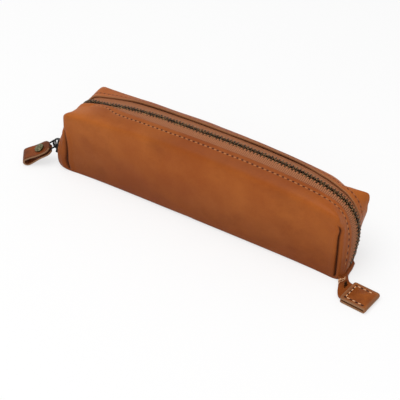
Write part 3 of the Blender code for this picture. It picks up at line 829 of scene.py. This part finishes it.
# %% Where the slider, the link and the strap are
chain_half_width, link_height, link_length = 0.0022, 0.0038, 0.0115
link_drop, link_turn, link_roll, strap_turn = -135, -20, -28, -8
low, high = route.place(slider_at - half_slider), route.place(slider_at + half_slider)
run = (high - low).normalized()
side = route.place(slider_at, chain_half_width) - route.place(slider_at, -chain_half_width)
slider_place = Matrix.Translation((low + high) / 2) @ facing(run, run.cross(side).normalized())
link_place = slider_place @ Matrix.Translation((0, 0, link_height))
link_place = link_place @ turn_by(link_drop, "Y") @ turn_by(link_turn, "Z") @ turn_by(link_roll, "X")
strap_place = link_place @ Matrix.Translation((link_length, 0, 0)) @ Matrix.Rotation(math.pi, 4, "X")
strap_place = strap_place @ turn_by(strap_turn, "Z")
print("rivet at", [round(value, 4) for value in strap_place.translation])


# %% Bent strip
def bent_strip(name, path, width, columns=8):
    """A strip of leather extruded along a path in local X and Z, its width on Y."""
    start_clean()
    bpy.ops.mesh.primitive_grid_add(x_subdivisions=1, y_subdivisions=columns, size=1, location=(0, 0, 0))
    strip = new_piece(name)
    ends = (path[0], path[1])
    for vertex in strip.data.vertices:
        x, z = ends[int(vertex.co.x > 0)]
        vertex.co = (x, vertex.co.y * width, z)
    far = max(vertex.index for vertex in strip.data.vertices)
    bpy.ops.object.mode_set(mode="EDIT")
    bpy.ops.mesh.select_mode(type="VERT")
    bpy.ops.mesh.select_all(action="DESELECT")
    bpy.ops.object.mode_set(mode="OBJECT")
    end = strip.data.vertices[far].co
    for vertex in strip.data.vertices:
        vertex.select = abs(vertex.co.x - end.x) < 1e-6 and abs(vertex.co.z - end.z) < 1e-6
    bpy.ops.object.mode_set(mode="EDIT")
    for (x0, z0), (x1, z1) in zip(path[1:], path[2:]):
        bpy.ops.mesh.extrude_region_move(TRANSFORM_OT_translate={"value": (x1 - x0, 0, z1 - z0)})
    bpy.ops.mesh.select_all(action="SELECT")
    bpy.ops.mesh.normals_make_consistent(inside=False)
    bpy.ops.object.mode_set(mode="OBJECT")
    return strip


def folded_path(start, ply, fold, loop, steps=12):
    """Path of a strip from its end over a flat ply, round a fold and back below."""
    top = [(start + (fold - start) * step / 10, 0) for step in range(10)]
    rise = [(x, ply + (loop - ply) * ramp(x, start + (fold - start) * 0.45, fold)) for x, z in top]
    turn = []
    for step in range(steps + 1):
        angle = math.pi / 2 - math.pi * step / steps
        turn.append((fold + loop * math.cos(angle), loop * math.sin(angle)))
    return rise + turn + [(x, -z) for x, z in reversed(rise)]


# %% [markdown]
# ## Rubbed and cut edges
# A strap is darkest just inside its edge, where the edge was rubbed smooth, and pale on the cut itself,
# where the dye doesn't reach. A mask could be painted by hand. Here two attributes hold it, worked out
# from each point's distance to the edge, and the leather's finish reads them.


# %% Marking a strap's edges
def mark_edges(piece, half_size, rubbed, worn):
    """Write where a piece is rubbed dark and where its pale cut edge shows, from its place."""
    gaps = np.array([half_size(vertex.co) for vertex in piece.data.vertices], float)
    cut = 0.85 * (1 - ramp(gaps, 0.00002, 0.00022))
    worn_back = worn * (1 - ramp(gaps, 0.0006, 0.0020))
    write_layer(piece, "seam_shade_and_rub", rubbed * bump(gaps - 0.0005, 0.0005))
    write_layer(piece, "cut_edge", np.maximum(cut, worn_back))


# %% The folded strap
strap_width, strap_leather, strap_cup = 0.0112, 0.0013, 0.00012
strap_start, strap_ply, strap_fold, strap_loop = -0.0072, 0.00155, 0.0110, 0.0026
strap_path = folded_path(strap_start, strap_ply, strap_fold, strap_loop)
strap = bent_strip("pull_leather", strap_path, strap_width)


def strap_clip(x):
    """Share of the strap's width at a place along it: its end by the link is rounded."""
    return 1 - 0.46 * float(ramp(-x, 0.0044, 0.0074))


for vertex in strap.data.vertices:
    vertex.co.y *= strap_clip(vertex.co.x)
    vertex.co.z -= math.copysign(strap_cup, vertex.co.z) * (vertex.co.y / strap_width * 2) ** 2
thicken(strap, strap_leather, 0.0)
round_edges(strap, 0.0003, 2)
mark_edges(strap, lambda co: strap_width / 2 * strap_clip(co.x) - abs(co.y), 0.70, 0.0)
place_in_mesh(strap, strap_place)
smooth_shading(strap, 60)
finish(strap, "pull", "leather", "pull_strap")

# %% [markdown]
# ## The rivet
# The rivet's cap is a thin brass dome with a rolled rim. A cylinder's top is inset and lowered, then
# its rims are rounded. Its back cap and shank are good as they are in the frame.

# %% Rivet cap
cap_radius, cap_height, cap_level = 0.0031, 0.0009, (0, 0, 0.00295)
start_clean()
bpy.ops.mesh.primitive_cylinder_add(vertices=32, radius=cap_radius, depth=cap_height, location=cap_level)
rivet = new_piece("rivet_dome")
bpy.ops.object.transform_apply(location=True, rotation=False, scale=True)
for face in rivet.data.polygons:
    face.select = face.normal.z > 0.9
bpy.ops.object.mode_set(mode="EDIT")
bpy.ops.mesh.select_mode(type="FACE")
bpy.ops.mesh.inset(thickness=0.0006, depth=0.0002)
bpy.ops.mesh.inset(thickness=0.0003, depth=-0.0003)
bpy.ops.mesh.inset(thickness=0.0010, depth=0.0003)
bpy.ops.object.mode_set(mode="OBJECT")
round_edges(rivet, 0.00018, 3, 20)
place_in_mesh(rivet, strap_place)
smooth_shading(rivet, 40)
finish(rivet, "pull", "rivet_brass", "rivet_cap")

# %% [markdown]
# ## The end tab
# A square of leather is folded over the end of the zip and sewn on three sides. It is the same strip
# operation as the pull, with a nearly flat fold, and the sewing presses a channel into it.

# %% End tab
tab_side, tab_leather, tail_thickness = 0.0168, 0.0011, 0.0007
tab_reach, tab_front, tab_level, tab_turn = 0.0148, 0.0171, 0.00205, -5
tab_ply, tab_fold, tab_margin, corner_zone = 0.0012, 0.00665, 0.0024, 0.0012
press_depth, press_width, centre_height, corner_cut = 0.00022, 0.0006, 0.00055, 0.0003
foot = last_station + 0.5
zip_foot = skin_point(foot, centre_line)
tab_place = Matrix.Translation((zip_foot.x + tab_reach, zip_foot.y - tab_front, tab_level))
tab_place = tab_place @ turn_by(tab_turn, "Z")
tab_path = folded_path(-tab_side / 2, tab_ply, tab_fold, tab_ply, 8)
tab = bent_strip("tab_leather", tab_path, tab_side, 14)
for step in range(2):
    make_active(tab)
    bpy.ops.object.mode_set(mode="EDIT")
    bpy.ops.mesh.select_all(action="SELECT")
    bpy.ops.mesh.subdivide(number_cuts=1)
    bpy.ops.object.mode_set(mode="OBJECT")
sewn, from_side = tab_side / 2 - tab_margin, tab_side / 2 - corner_zone
for vertex in tab.data.vertices:
    x, y, z = vertex.co
    near_sewing = x > -sewn - press_width and abs(y) < sewn + press_width
    edge = min(abs(x + sewn), abs(abs(y) - sewn)) if near_sewing else 1
    if z > 0:
        press = press_depth * bump(edge, press_width) if x < sewn else 0
        vertex.co.z += centre_height * (1 - min(max(abs(x), abs(y)) / sewn, 1) ** 2) - press
    corner = ramp(abs(y), from_side, tab_side / 2) * ramp(abs(x), from_side, tab_side / 2)
    vertex.co.x -= math.copysign(corner_cut, x) * corner
    vertex.co.y -= math.copysign(corner_cut, y) * corner
thicken(tab, tab_leather, 0.0)
round_edges(tab, 0.0003, 2)
mark_edges(tab, lambda co: tab_side / 2 - max(abs(co.x), abs(co.y)), 0.30, 0.35)
place_in_mesh(tab, tab_place)
smooth_shading(tab, 60)
finish(tab, "case", "leather", "end_tab")

# %% Sewing round the tab
tab_top, sewing_end, tab_pitch = tab_ply + tab_leather / 2, 0.0050, 0.0032
corners = [(sewing_end, -sewn), (-sewn, -sewn), (-sewn, sewn), (sewing_end, sewn)]
places, gaps = [], []
for (x0, y0), (x1, y1) in zip(corners, corners[1:]):
    length = math.hypot(x1 - x0, y1 - y0)
    count = max(int(round(length / tab_pitch)), 1)
    angle = math.atan2(y1 - y0, x1 - x0)
    for step in range(count):
        t, u = (step + 0.5) / count, step / count
        at = Vector((x0 + (x1 - x0) * t, y0 + (y1 - y0) * t, tab_top - 0.00002))
        places.append(tab_place @ Matrix.Translation(at) @ Matrix.Rotation(angle + 0.1, 4, "Z"))
        at = Vector((x0 + (x1 - x0) * u, y0 + (y1 - y0) * u, tab_top - 0.00012))
        gaps.append(tab_place @ Matrix.Translation(at) @ Matrix.Diagonal((1.25, 1.25, 1, 1)))
tab_thread = repeat_piece("tab_thread", stitch, places)
smooth_shading(tab_thread, 60)
finish(tab_thread, "case", "thread", "tab_stitch")
# Dark discs of painted shade mark the holes round the tab.
tab_hole_shades = repeat_piece("tab_hole_shades", hole, gaps)
finish(tab_hole_shades, "case", "leather")

# %% [markdown]
# ## The tail
# Where the zip ends, the front strip of leather and the tape run on together over the foot of the case
# and into the tab. It is one soft ribbon: it leaves the skin upright and lies down beside it. Each of
# its columns is a curve with four control points, two at the foot and two at the tab.

# %% Tail
tail_columns, tail_steps, tail_front, tail_back, tail_width = 12, 24, -0.0182, -0.0036, 0.0144
tail_gap, tail_lead, tail_give = 0.0003, 0.0040, 0.35
knee = skin_normal(foot, centre_line) * 0.0010 - Vector((0, 0, tail_lead))
tail_rows = [[] for step in range(tail_steps + 2)]
for number in range(tail_columns + 1):
    share = number / tail_columns
    line = line_at(tail_front + share * (tail_back - tail_front))
    start = below_skin(foot, line, -tail_gap - tail_thickness)
    pull = corner_pull(*shares_at(foot, line))[0]
    start += Vector((pull[0], 0, tail_give * pull[2]))
    off_middle = tail_width * (share - 0.5)
    end = tab_place @ Vector((-tab_side / 2 - tail_gap, off_middle, tail_thickness / 2))
    before = tab_place @ Vector((-tab_side / 2 - tail_gap - tail_lead, off_middle, tail_thickness / 2))
    for step in range(tail_steps + 1):
        t = step / tail_steps
        near = (1 - t) ** 3 * start + 3 * t * (1 - t) ** 2 * (start + knee)
        tail_rows[step].append(near + 3 * t * t * (1 - t) * before + t ** 3 * end)
    tail_rows[-1].append(tab_place @ Vector((tab_side / 4, off_middle, tail_thickness / 2)))
tail = sheet_piece("tail_leather", tail_rows, tail_thickness)
smooth_shading(tail, 60)
finish(tail, "case", "leather", "tail_strip")

# %% [markdown]
# ## Tacks on the tail
# Two slanting bars of pale thread hold the end of the zip where the tail leaves the foot. Each bar is
# a run of thin stitches that steps across the tail's rows, so it lies on the ribbon however it bends.

# %% Tacks
places, tack_steps, tack_columns = [], (6, 9), range(1, 8)
thin = Matrix.Diagonal((1, 0.6, 0.6, 1))
for step in tack_steps:
    for column in tack_columns:
        here = tail_rows[step - column // 2][column]
        ahead = tail_rows[step - (column + 1) // 2][column + 1]
        run = (ahead - here).normalized()
        out = run.cross(tail_rows[step + 1][column] - tail_rows[step][column]).normalized()
        out = out if out.y < 0 or out.z > 0.5 else -out
        at = (here + ahead) / 2 + out * (tail_thickness + 0.00010)
        places.append(Matrix.Translation(at) @ facing(run, out) @ thin)
tack_thread = repeat_piece("tack_thread", stitch, places)
smooth_shading(tack_thread, 60)
finish(tack_thread, "case", "thread")
for pattern in (stitch, hole):
    bpy.data.objects.remove(pattern, do_unlink=True)

# %% [markdown]
# ## Finishes: shared effects
# Three effects come back in several finishes: the grain of the leather, the cloudy colour of waxed
# hide, and the worn look of old metal. Each is a node group, built once, that gives only heights and
# masks. The shaders stay in the materials, where the export can read them.


# %% Node helpers
def fill(tree, socket, value):
    """Link a socket to another one, or give it a number, a place or a colour."""
    if isinstance(value, bpy.types.NodeSocket):
        tree.links.new(value, socket)
    elif socket.type == "RGBA":
        socket.default_value = (*value, 1)
    else:
        socket.default_value = value


def feed(tree, node, **values):
    """Fill a node's inputs by name, and set its properties."""
    for name, value in values.items():
        label = name.replace("_", " ")
        if label in node.inputs:
            fill(tree, node.inputs[label], value)
        else:
            setattr(node, name, value)
    return node


def add_node(tree, kind, **values):
    """A new node with its inputs and properties."""
    return feed(tree, tree.nodes.new(kind), **values)


def math_node(tree, operation, a, b):
    """A math node on sockets or numbers."""
    node = add_node(tree, "ShaderNodeMath", operation=operation)
    fill(tree, node.inputs[0], a)
    fill(tree, node.inputs[1], b)
    return node.outputs[0]


def colour_mix(tree, factor, a, b):
    """Mix two colours."""
    node = add_node(tree, "ShaderNodeMix", data_type="RGBA")
    for number, value in ((0, factor), (6, a), (7, b)):
        fill(tree, node.inputs[number], value)
    return node.outputs[2]


# %% Starting a node group
def new_group(name, inputs, outputs):
    """An empty node group. An input without a value takes a place."""
    group = bpy.data.node_groups.new(name, "ShaderNodeTree")
    for label, value in inputs:
        kind = "NodeSocketVector" if value is None else "NodeSocketFloat"
        socket = group.interface.new_socket(label, in_out="INPUT", socket_type=kind)
        if value is not None:
            socket.default_value = value
    for label in outputs:
        group.interface.new_socket(label, in_out="OUTPUT", socket_type="NodeSocketFloat")
    return group, group.nodes.new("NodeGroupInput"), group.nodes.new("NodeGroupOutput")


# %% Leather grain group
grain_inputs = [("Place", None), ("Scale", 1400.0)]
grain_group, source, sink = new_group("leather_grain", grain_inputs, ["Height", "Pores"])
place, size = source.outputs["Place"], source.outputs["Scale"]
cells = add_node(grain_group, "ShaderNodeTexVoronoi", feature="DISTANCE_TO_EDGE", Vector=place, Scale=size)
fine_size = math_node(grain_group, "MULTIPLY", size, 0.35)
fine = add_node(grain_group, "ShaderNodeTexNoise", Vector=place, Scale=fine_size, Detail=3.0, Roughness=0.6)
edge = math_node(grain_group, "MULTIPLY", cells.outputs["Distance"], 4.0)
edge = math_node(grain_group, "MINIMUM", edge, 1.0)
height = math_node(grain_group, "ADD", math_node(grain_group, "MULTIPLY", edge, 0.5), fine.outputs["Fac"])
feed(grain_group, sink, Height=height, Pores=math_node(grain_group, "SUBTRACT", 1.0, edge))
print("group:", grain_group.name)

# %% Cloudy wax group
cloud_group, source, sink = new_group("wax_clouds", [("Place", None)], ["Clouds", "Streaks"])
place = source.outputs["Place"]
clouds = add_node(cloud_group, "ShaderNodeTexNoise", Vector=place, Scale=26.0, Detail=4.0, Roughness=0.55)
stretched = add_node(cloud_group, "ShaderNodeMapping", Vector=place, Scale=(0.8, 1.0, 1.2)).outputs["Vector"]
streaks = add_node(cloud_group, "ShaderNodeTexNoise", Vector=stretched, Scale=34.0, Detail=5.0, Roughness=0.6)
feed(cloud_group, sink, Clouds=clouds.outputs["Fac"], Streaks=streaks.outputs["Fac"])
print("group:", cloud_group.name)

# %% Old metal group
wear_group, source, sink = new_group("old_metal", [("Place", None), ("Scale", 700.0)], ["Wear", "Dents"])
place, size = source.outputs["Place"], source.outputs["Scale"]
spots = add_node(wear_group, "ShaderNodeTexNoise", Vector=place, Scale=size, Detail=4.0, Roughness=0.7)
dent_size = math_node(wear_group, "MULTIPLY", size, 2.2)
dents = add_node(wear_group, "ShaderNodeTexNoise", Vector=place, Scale=dent_size, Detail=2.0, Roughness=0.5)
feed(wear_group, sink, Wear=spots.outputs["Fac"], Dents=dents.outputs["Fac"])
print("group:", wear_group.name)

# %% [markdown]
# ## The leather's finish
# Waxed vegetable-tanned cowhide is an orange brown that clouds darker where it is handled. It has a fine
# grain, a satin wax sheen, and dark rubbed edges on the strap and the tab. Three tones are mixed by the
# clouds and streaks. On the hide and the tail, painted shade then darkens them toward the foot and along
# the top of the case, so a band just under the top stays lighter as a painted highlight. Painted shade
# also darkens the grooves of the sewn corners. An image texture would fit only this one shape, while
# these nodes go with any piece.


# %% Parts of every material
def new_finish(name):
    """A material with its tree and its shader."""
    made = bpy.data.materials.new(name)
    made.use_nodes = True
    return made, made.node_tree, made.node_tree.nodes["Principled BSDF"]


def coordinates(tree, kind):
    """Places on the object or on its UV map."""
    return add_node(tree, "ShaderNodeTexCoord").outputs[kind]


def group_node(tree, group, place, **values):
    """A node group placed in a material."""
    node = add_node(tree, "ShaderNodeGroup", node_tree=group)
    return feed(tree, node, Place=place, **values)


def add_bump(tree, shader, height, distance, strength):
    """Bump from a height socket, chained on what is there."""
    node = add_node(tree, "ShaderNodeBump", Strength=strength, Distance=distance, Height=height)
    if shader.inputs["Normal"].links:
        feed(tree, node, Normal=shader.inputs["Normal"].links[0].from_socket)
    feed(tree, shader, Normal=node.outputs["Normal"])


def share_between(tree, value, low, high, **settings):
    """How far a value has come from low to high, as a share."""
    node = add_node(tree, "ShaderNodeMapRange", Value=value, From_Min=low, From_Max=high, **settings)
    return node.outputs["Result"]


# %% Leather material
# The first mark's dark colour is painted shade in the hide's seam grooves, and rubbed leather on the strap
# and the tab.
leather_marks = {"seam_shade_and_rub": (0.050, 0.014, 0.007), "cut_edge": (0.30, 0.165, 0.085)}
# Heights in metres, and strengths, of the painted shade on the hide: toward the foot, and along the top.
shade_levels = ((0.046, 0.000, 0.60), (0.0465, 0.0525, 0.38))


def leather_finish(name, light, mid, dark, deep_shade=False, creased=False):
    """Waxed leather: three tones, clouds, grain and a satin sheen."""
    made, tree, shader = new_finish(name)
    place = coordinates(tree, "Object")
    cloud_scale = (1, 1, 1) if deep_shade else (4, 4, 4)
    cloud_place = add_node(tree, "ShaderNodeMapping", Vector=place, Scale=cloud_scale)
    wax = group_node(tree, cloud_group, cloud_place.outputs["Vector"])
    grain = group_node(tree, grain_group, place, Scale=1500.0)
    tone = colour_mix(tree, share_between(tree, wax.outputs["Clouds"], 0.36, 0.66), mid, light)
    streak = share_between(tree, wax.outputs["Streaks"], 0.50, 0.80)
    tone = colour_mix(tree, math_node(tree, "MULTIPLY", streak, 0.45), tone, dark)
    # Painted shade: with deep_shade, the leather darkens by height toward the foot and along the top.
    if deep_shade:
        height = add_node(tree, "ShaderNodeSeparateXYZ", Vector=place).outputs["Z"]
        for low, high, strength in shade_levels:
            shade = share_between(tree, height, low, high, interpolation_type="SMOOTHSTEP")
            tone = colour_mix(tree, math_node(tree, "MULTIPLY", shade, strength), tone, dark)
    pores = math_node(tree, "MULTIPLY", grain.outputs["Pores"], 0.25)
    tone = colour_mix(tree, pores, tone, dark)
    if creased:
        for attribute, colour in leather_marks.items():
            mark = add_node(tree, "ShaderNodeAttribute", attribute_name=attribute)
            tone = colour_mix(tree, mark.outputs["Fac"], tone, colour)
    rough = math_node(tree, "ADD", 0.36, math_node(tree, "MULTIPLY", wax.outputs["Streaks"], 0.22))
    feed(tree, shader, Base_Color=tone, Roughness=rough, Specular_IOR_Level=0.12)
    add_bump(tree, shader, grain.outputs["Height"], 0.00006, 0.6)
    add_bump(tree, shader, wax.outputs["Streaks"], 0.0004, 0.35)
    return made


# %% The leathers of the case
# Each has its light, middle and dark tone. The small pieces were cut from darker, handled leather.
hide_tones = (0.45, 0.128, 0.021), (0.345, 0.082, 0.011), (0.12, 0.022, 0.004)
tab_tones = (0.37, 0.098, 0.009), (0.22, 0.052, 0.006), (0.08, 0.018, 0.005)
pull_tones = (0.25, 0.056, 0.009), (0.12, 0.030, 0.007), (0.05, 0.014, 0.005)
# The holes' tones are painted shade: near black at the front and on the tab, softer at the back.
hole_shade_tones = (0.05, 0.012, 0.005), (0.04, 0.010, 0.004), (0.03, 0.008, 0.004)
soft_hole_shade_tones = (0.16, 0.04, 0.012), (0.13, 0.035, 0.010), (0.08, 0.02, 0.008)
hide_leather = leather_finish("cognac_hide", *hide_tones, deep_shade=True, creased=True)
tab_hide = leather_finish("cognac_tab", *tab_tones, creased=True)
pull_hide = leather_finish("cognac_pull", *pull_tones, creased=True)
hole_shade_dark = leather_finish("hole_shade_dark", *hole_shade_tones)
hole_shade_soft = leather_finish("hole_shade_soft", *soft_hole_shade_tones)
print("leather finishes:", hide_leather.name, tab_hide.name, pull_hide.name, hole_shade_dark.name, hole_shade_soft.name)

# %% [markdown]
# ## Finishes of tape, thread and metal
# The tape is a close weave, drawn on its UV map so that it follows the zip. The thread is twisted and
# waxed. The metals are an aged brass for the teeth, a black worn coat for the slider and a duller
# yellow for the rivet. All three metals share one function, because only their tones differ.

# %% The tape's weave
tape_finish, tree, shader = new_finish("woven_tape")
place = coordinates(tree, "UV")
waves = []
for direction, scale in (("Y", 262.0), ("X", 300.0)):
    wave = add_node(tree, "ShaderNodeTexWave", Vector=place, Scale=scale, Distortion=0.6)
    wave.bands_direction = direction
    waves.append(wave.outputs["Fac"])
rib = math_node(tree, "ADD", 0.55, math_node(tree, "MULTIPLY", waves[1], 0.45))
weave = math_node(tree, "MULTIPLY", waves[0], rib)
tape_tone = colour_mix(tree, weave, (0.17, 0.050, 0.015), (0.50, 0.185, 0.066))
feed(tree, shader, Base_Color=tape_tone, Roughness=0.8)
add_bump(tree, shader, weave, 0.0003, 0.8)
print("tape finish:", tape_finish.name)


# %% Threads
def thread_finish(name, dark, light):
    """Twisted waxed thread."""
    made, tree, shader = new_finish(name)
    place = coordinates(tree, "Object")
    twist = add_node(tree, "ShaderNodeTexNoise", Vector=place, Scale=2500.0, Detail=2.0).outputs["Fac"]
    feed(tree, shader, Base_Color=colour_mix(tree, twist, dark, light), Roughness=0.6)
    add_bump(tree, shader, twist, 0.0001, 0.6)
    return made


seam_thread_finish = thread_finish("waxed_thread", (0.30, 0.100, 0.020), (0.47, 0.178, 0.045))
pale_thread = thread_finish("pale_thread", (0.50, 0.24, 0.10), (0.80, 0.48, 0.26))
dark_thread = thread_finish("handled_thread", (0.22, 0.060, 0.015), (0.34, 0.105, 0.030))
print("thread finishes:", seam_thread_finish.name, pale_thread.name, dark_thread.name)


# %% Metals
def metal_finish(name, dark, bright, low, high, roughness):
    """Old metal: bright where it is rubbed, dark elsewhere."""
    made, tree, shader = new_finish(name)
    old = group_node(tree, wear_group, coordinates(tree, "Object"), Scale=900.0)
    rubbed = share_between(tree, old.outputs["Wear"], low, high)
    rough = math_node(tree, "ADD", roughness, math_node(tree, "MULTIPLY", old.outputs["Wear"], 0.2))
    feed(tree, shader, Base_Color=colour_mix(tree, rubbed, dark, bright), Metallic=1.0, Roughness=rough)
    add_bump(tree, shader, old.outputs["Dents"], 0.0001, 0.3)
    return made


brass_finish = metal_finish("aged_brass", (0.030, 0.016, 0.007), (0.46, 0.27, 0.12), 0.51, 0.69, 0.34)
black_finish = metal_finish("black_slider", (0.020, 0.019, 0.018), (0.16, 0.15, 0.14), 0.55, 0.80, 0.28)
rivet_finish = metal_finish("dull_rivet", (0.060, 0.060, 0.030), (0.30, 0.27, 0.15), 0.40, 0.72, 0.30)
print("metal finishes:", brass_finish.name, black_finish.name, rivet_finish.name)

# %% [markdown]
# ## Dressing the pieces
# Each new piece gets one finish, and the metal pieces kept from the frame get the same metals. It is
# done from two lists at the end, so that a finish can be tried on another piece in one place.

# %% Dress every piece
new_pieces = {
    hide_leather: ["case_hide", "tail_leather"],
    tab_hide: ["tab_leather"],
    pull_hide: ["pull_leather"],
    hole_shade_dark: ["seam_holes_front", "tab_hole_shades"],
    hole_shade_soft: ["seam_holes_back"],
    tape_finish: ["woven_tape_front", "woven_tape_back"],
    seam_thread_finish: ["seam_thread_front"],
    dark_thread: ["seam_thread_back"],
    pale_thread: ["tab_thread", "tack_thread"],
    brass_finish: ["teeth_front", "teeth_back"],
    rivet_finish: ["rivet_dome"],
}
for finish_made, names in new_pieces.items():
    for name in names:
        slots = bpy.data.objects[name].data.materials
        slots.clear()
        slots.append(finish_made)
kept_nodes = {
    brass_finish: ["top_stop_front", "top_stop_back", "bottom_stop"],
    black_finish: ["slider_body", "slider_crown", "pull_link"],
    rivet_finish: ["rivet_post"],
}
for finish_made, names in kept_nodes.items():
    for name in names:
        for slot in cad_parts[name].material_slots:
            slot.material = finish_made
print("dressed:", sum(len(names) for names in new_pieces.values()), "new pieces")

# %% [markdown]
# ## Floor, backdrop and light
# The case was photographed on plain white, with a faint soft shadow. More light would bleach the
# leather, so the floor and the world show nearly white to the camera by themselves, and the floor still
# takes the shadow. The light is a broad soft box above, with a weaker one in front.

# %% Floor
start_clean()
bpy.ops.mesh.primitive_plane_add(size=6, location=(0, 0, 0))
floor = new_piece("floor")
floor_finish, tree, shader = new_finish("white_floor")
feed(tree, shader, Base_Color=(0.90, 0.90, 0.90), Roughness=0.9, Specular_IOR_Level=0.1)
white_share = 0.66
path = add_node(tree, "ShaderNodeLightPath")
glow = add_node(tree, "ShaderNodeEmission", Strength=1.0)
glow_share = math_node(tree, "MULTIPLY", path.outputs["Is Camera Ray"], white_share)
mix = add_node(tree, "ShaderNodeMixShader", Fac=glow_share)
fill(tree, mix.inputs[1], shader.outputs["BSDF"])
fill(tree, mix.inputs[2], glow.outputs["Emission"])
feed(tree, tree.nodes["Material Output"], Surface=mix.outputs["Shader"])
floor.data.materials.append(floor_finish)
print("floor", tuple(floor.dimensions))

# %% World and lamps
world = bpy.data.worlds.new("studio")
bpy.context.scene.world = world
world.use_nodes = True
tree = world.node_tree
sky = tree.nodes["Background"]
path = add_node(tree, "ShaderNodeLightPath")
seen = math_node(tree, "MAXIMUM", path.outputs["Is Camera Ray"], path.outputs["Is Glossy Ray"])
seen = math_node(tree, "MAXIMUM", seen, path.outputs["Is Transmission Ray"])
strength = math_node(tree, "ADD", 0.50, math_node(tree, "MULTIPLY", seen, 0.50))
feed(tree, sky, Color=(1, 1, 1), Strength=strength)


def soft_box(name, size, power, place, target):
    """A square lamp that looks at a point."""
    lamp_data = bpy.data.lights.new(name, "AREA")
    lamp_data.shape = "SQUARE"
    lamp_data.size = size
    lamp_data.energy = power
    lamp = bpy.data.objects.new(name, lamp_data)
    bpy.context.scene.collection.objects.link(lamp)
    look = Vector(target) - Vector(place)
    lamp.matrix_world = Matrix.Translation(place) @ look.to_track_quat("-Z", "Y").to_matrix().to_4x4()


soft_box("top_box", 1.2, 13.0, (-0.2, -0.3, 1.4), (0, 0, 0))
soft_box("front_box", 0.9, 4.0, (0.8, -1.0, 0.9), (0, 0, 0.03))
bpy.context.scene.view_settings.view_transform = "Standard"
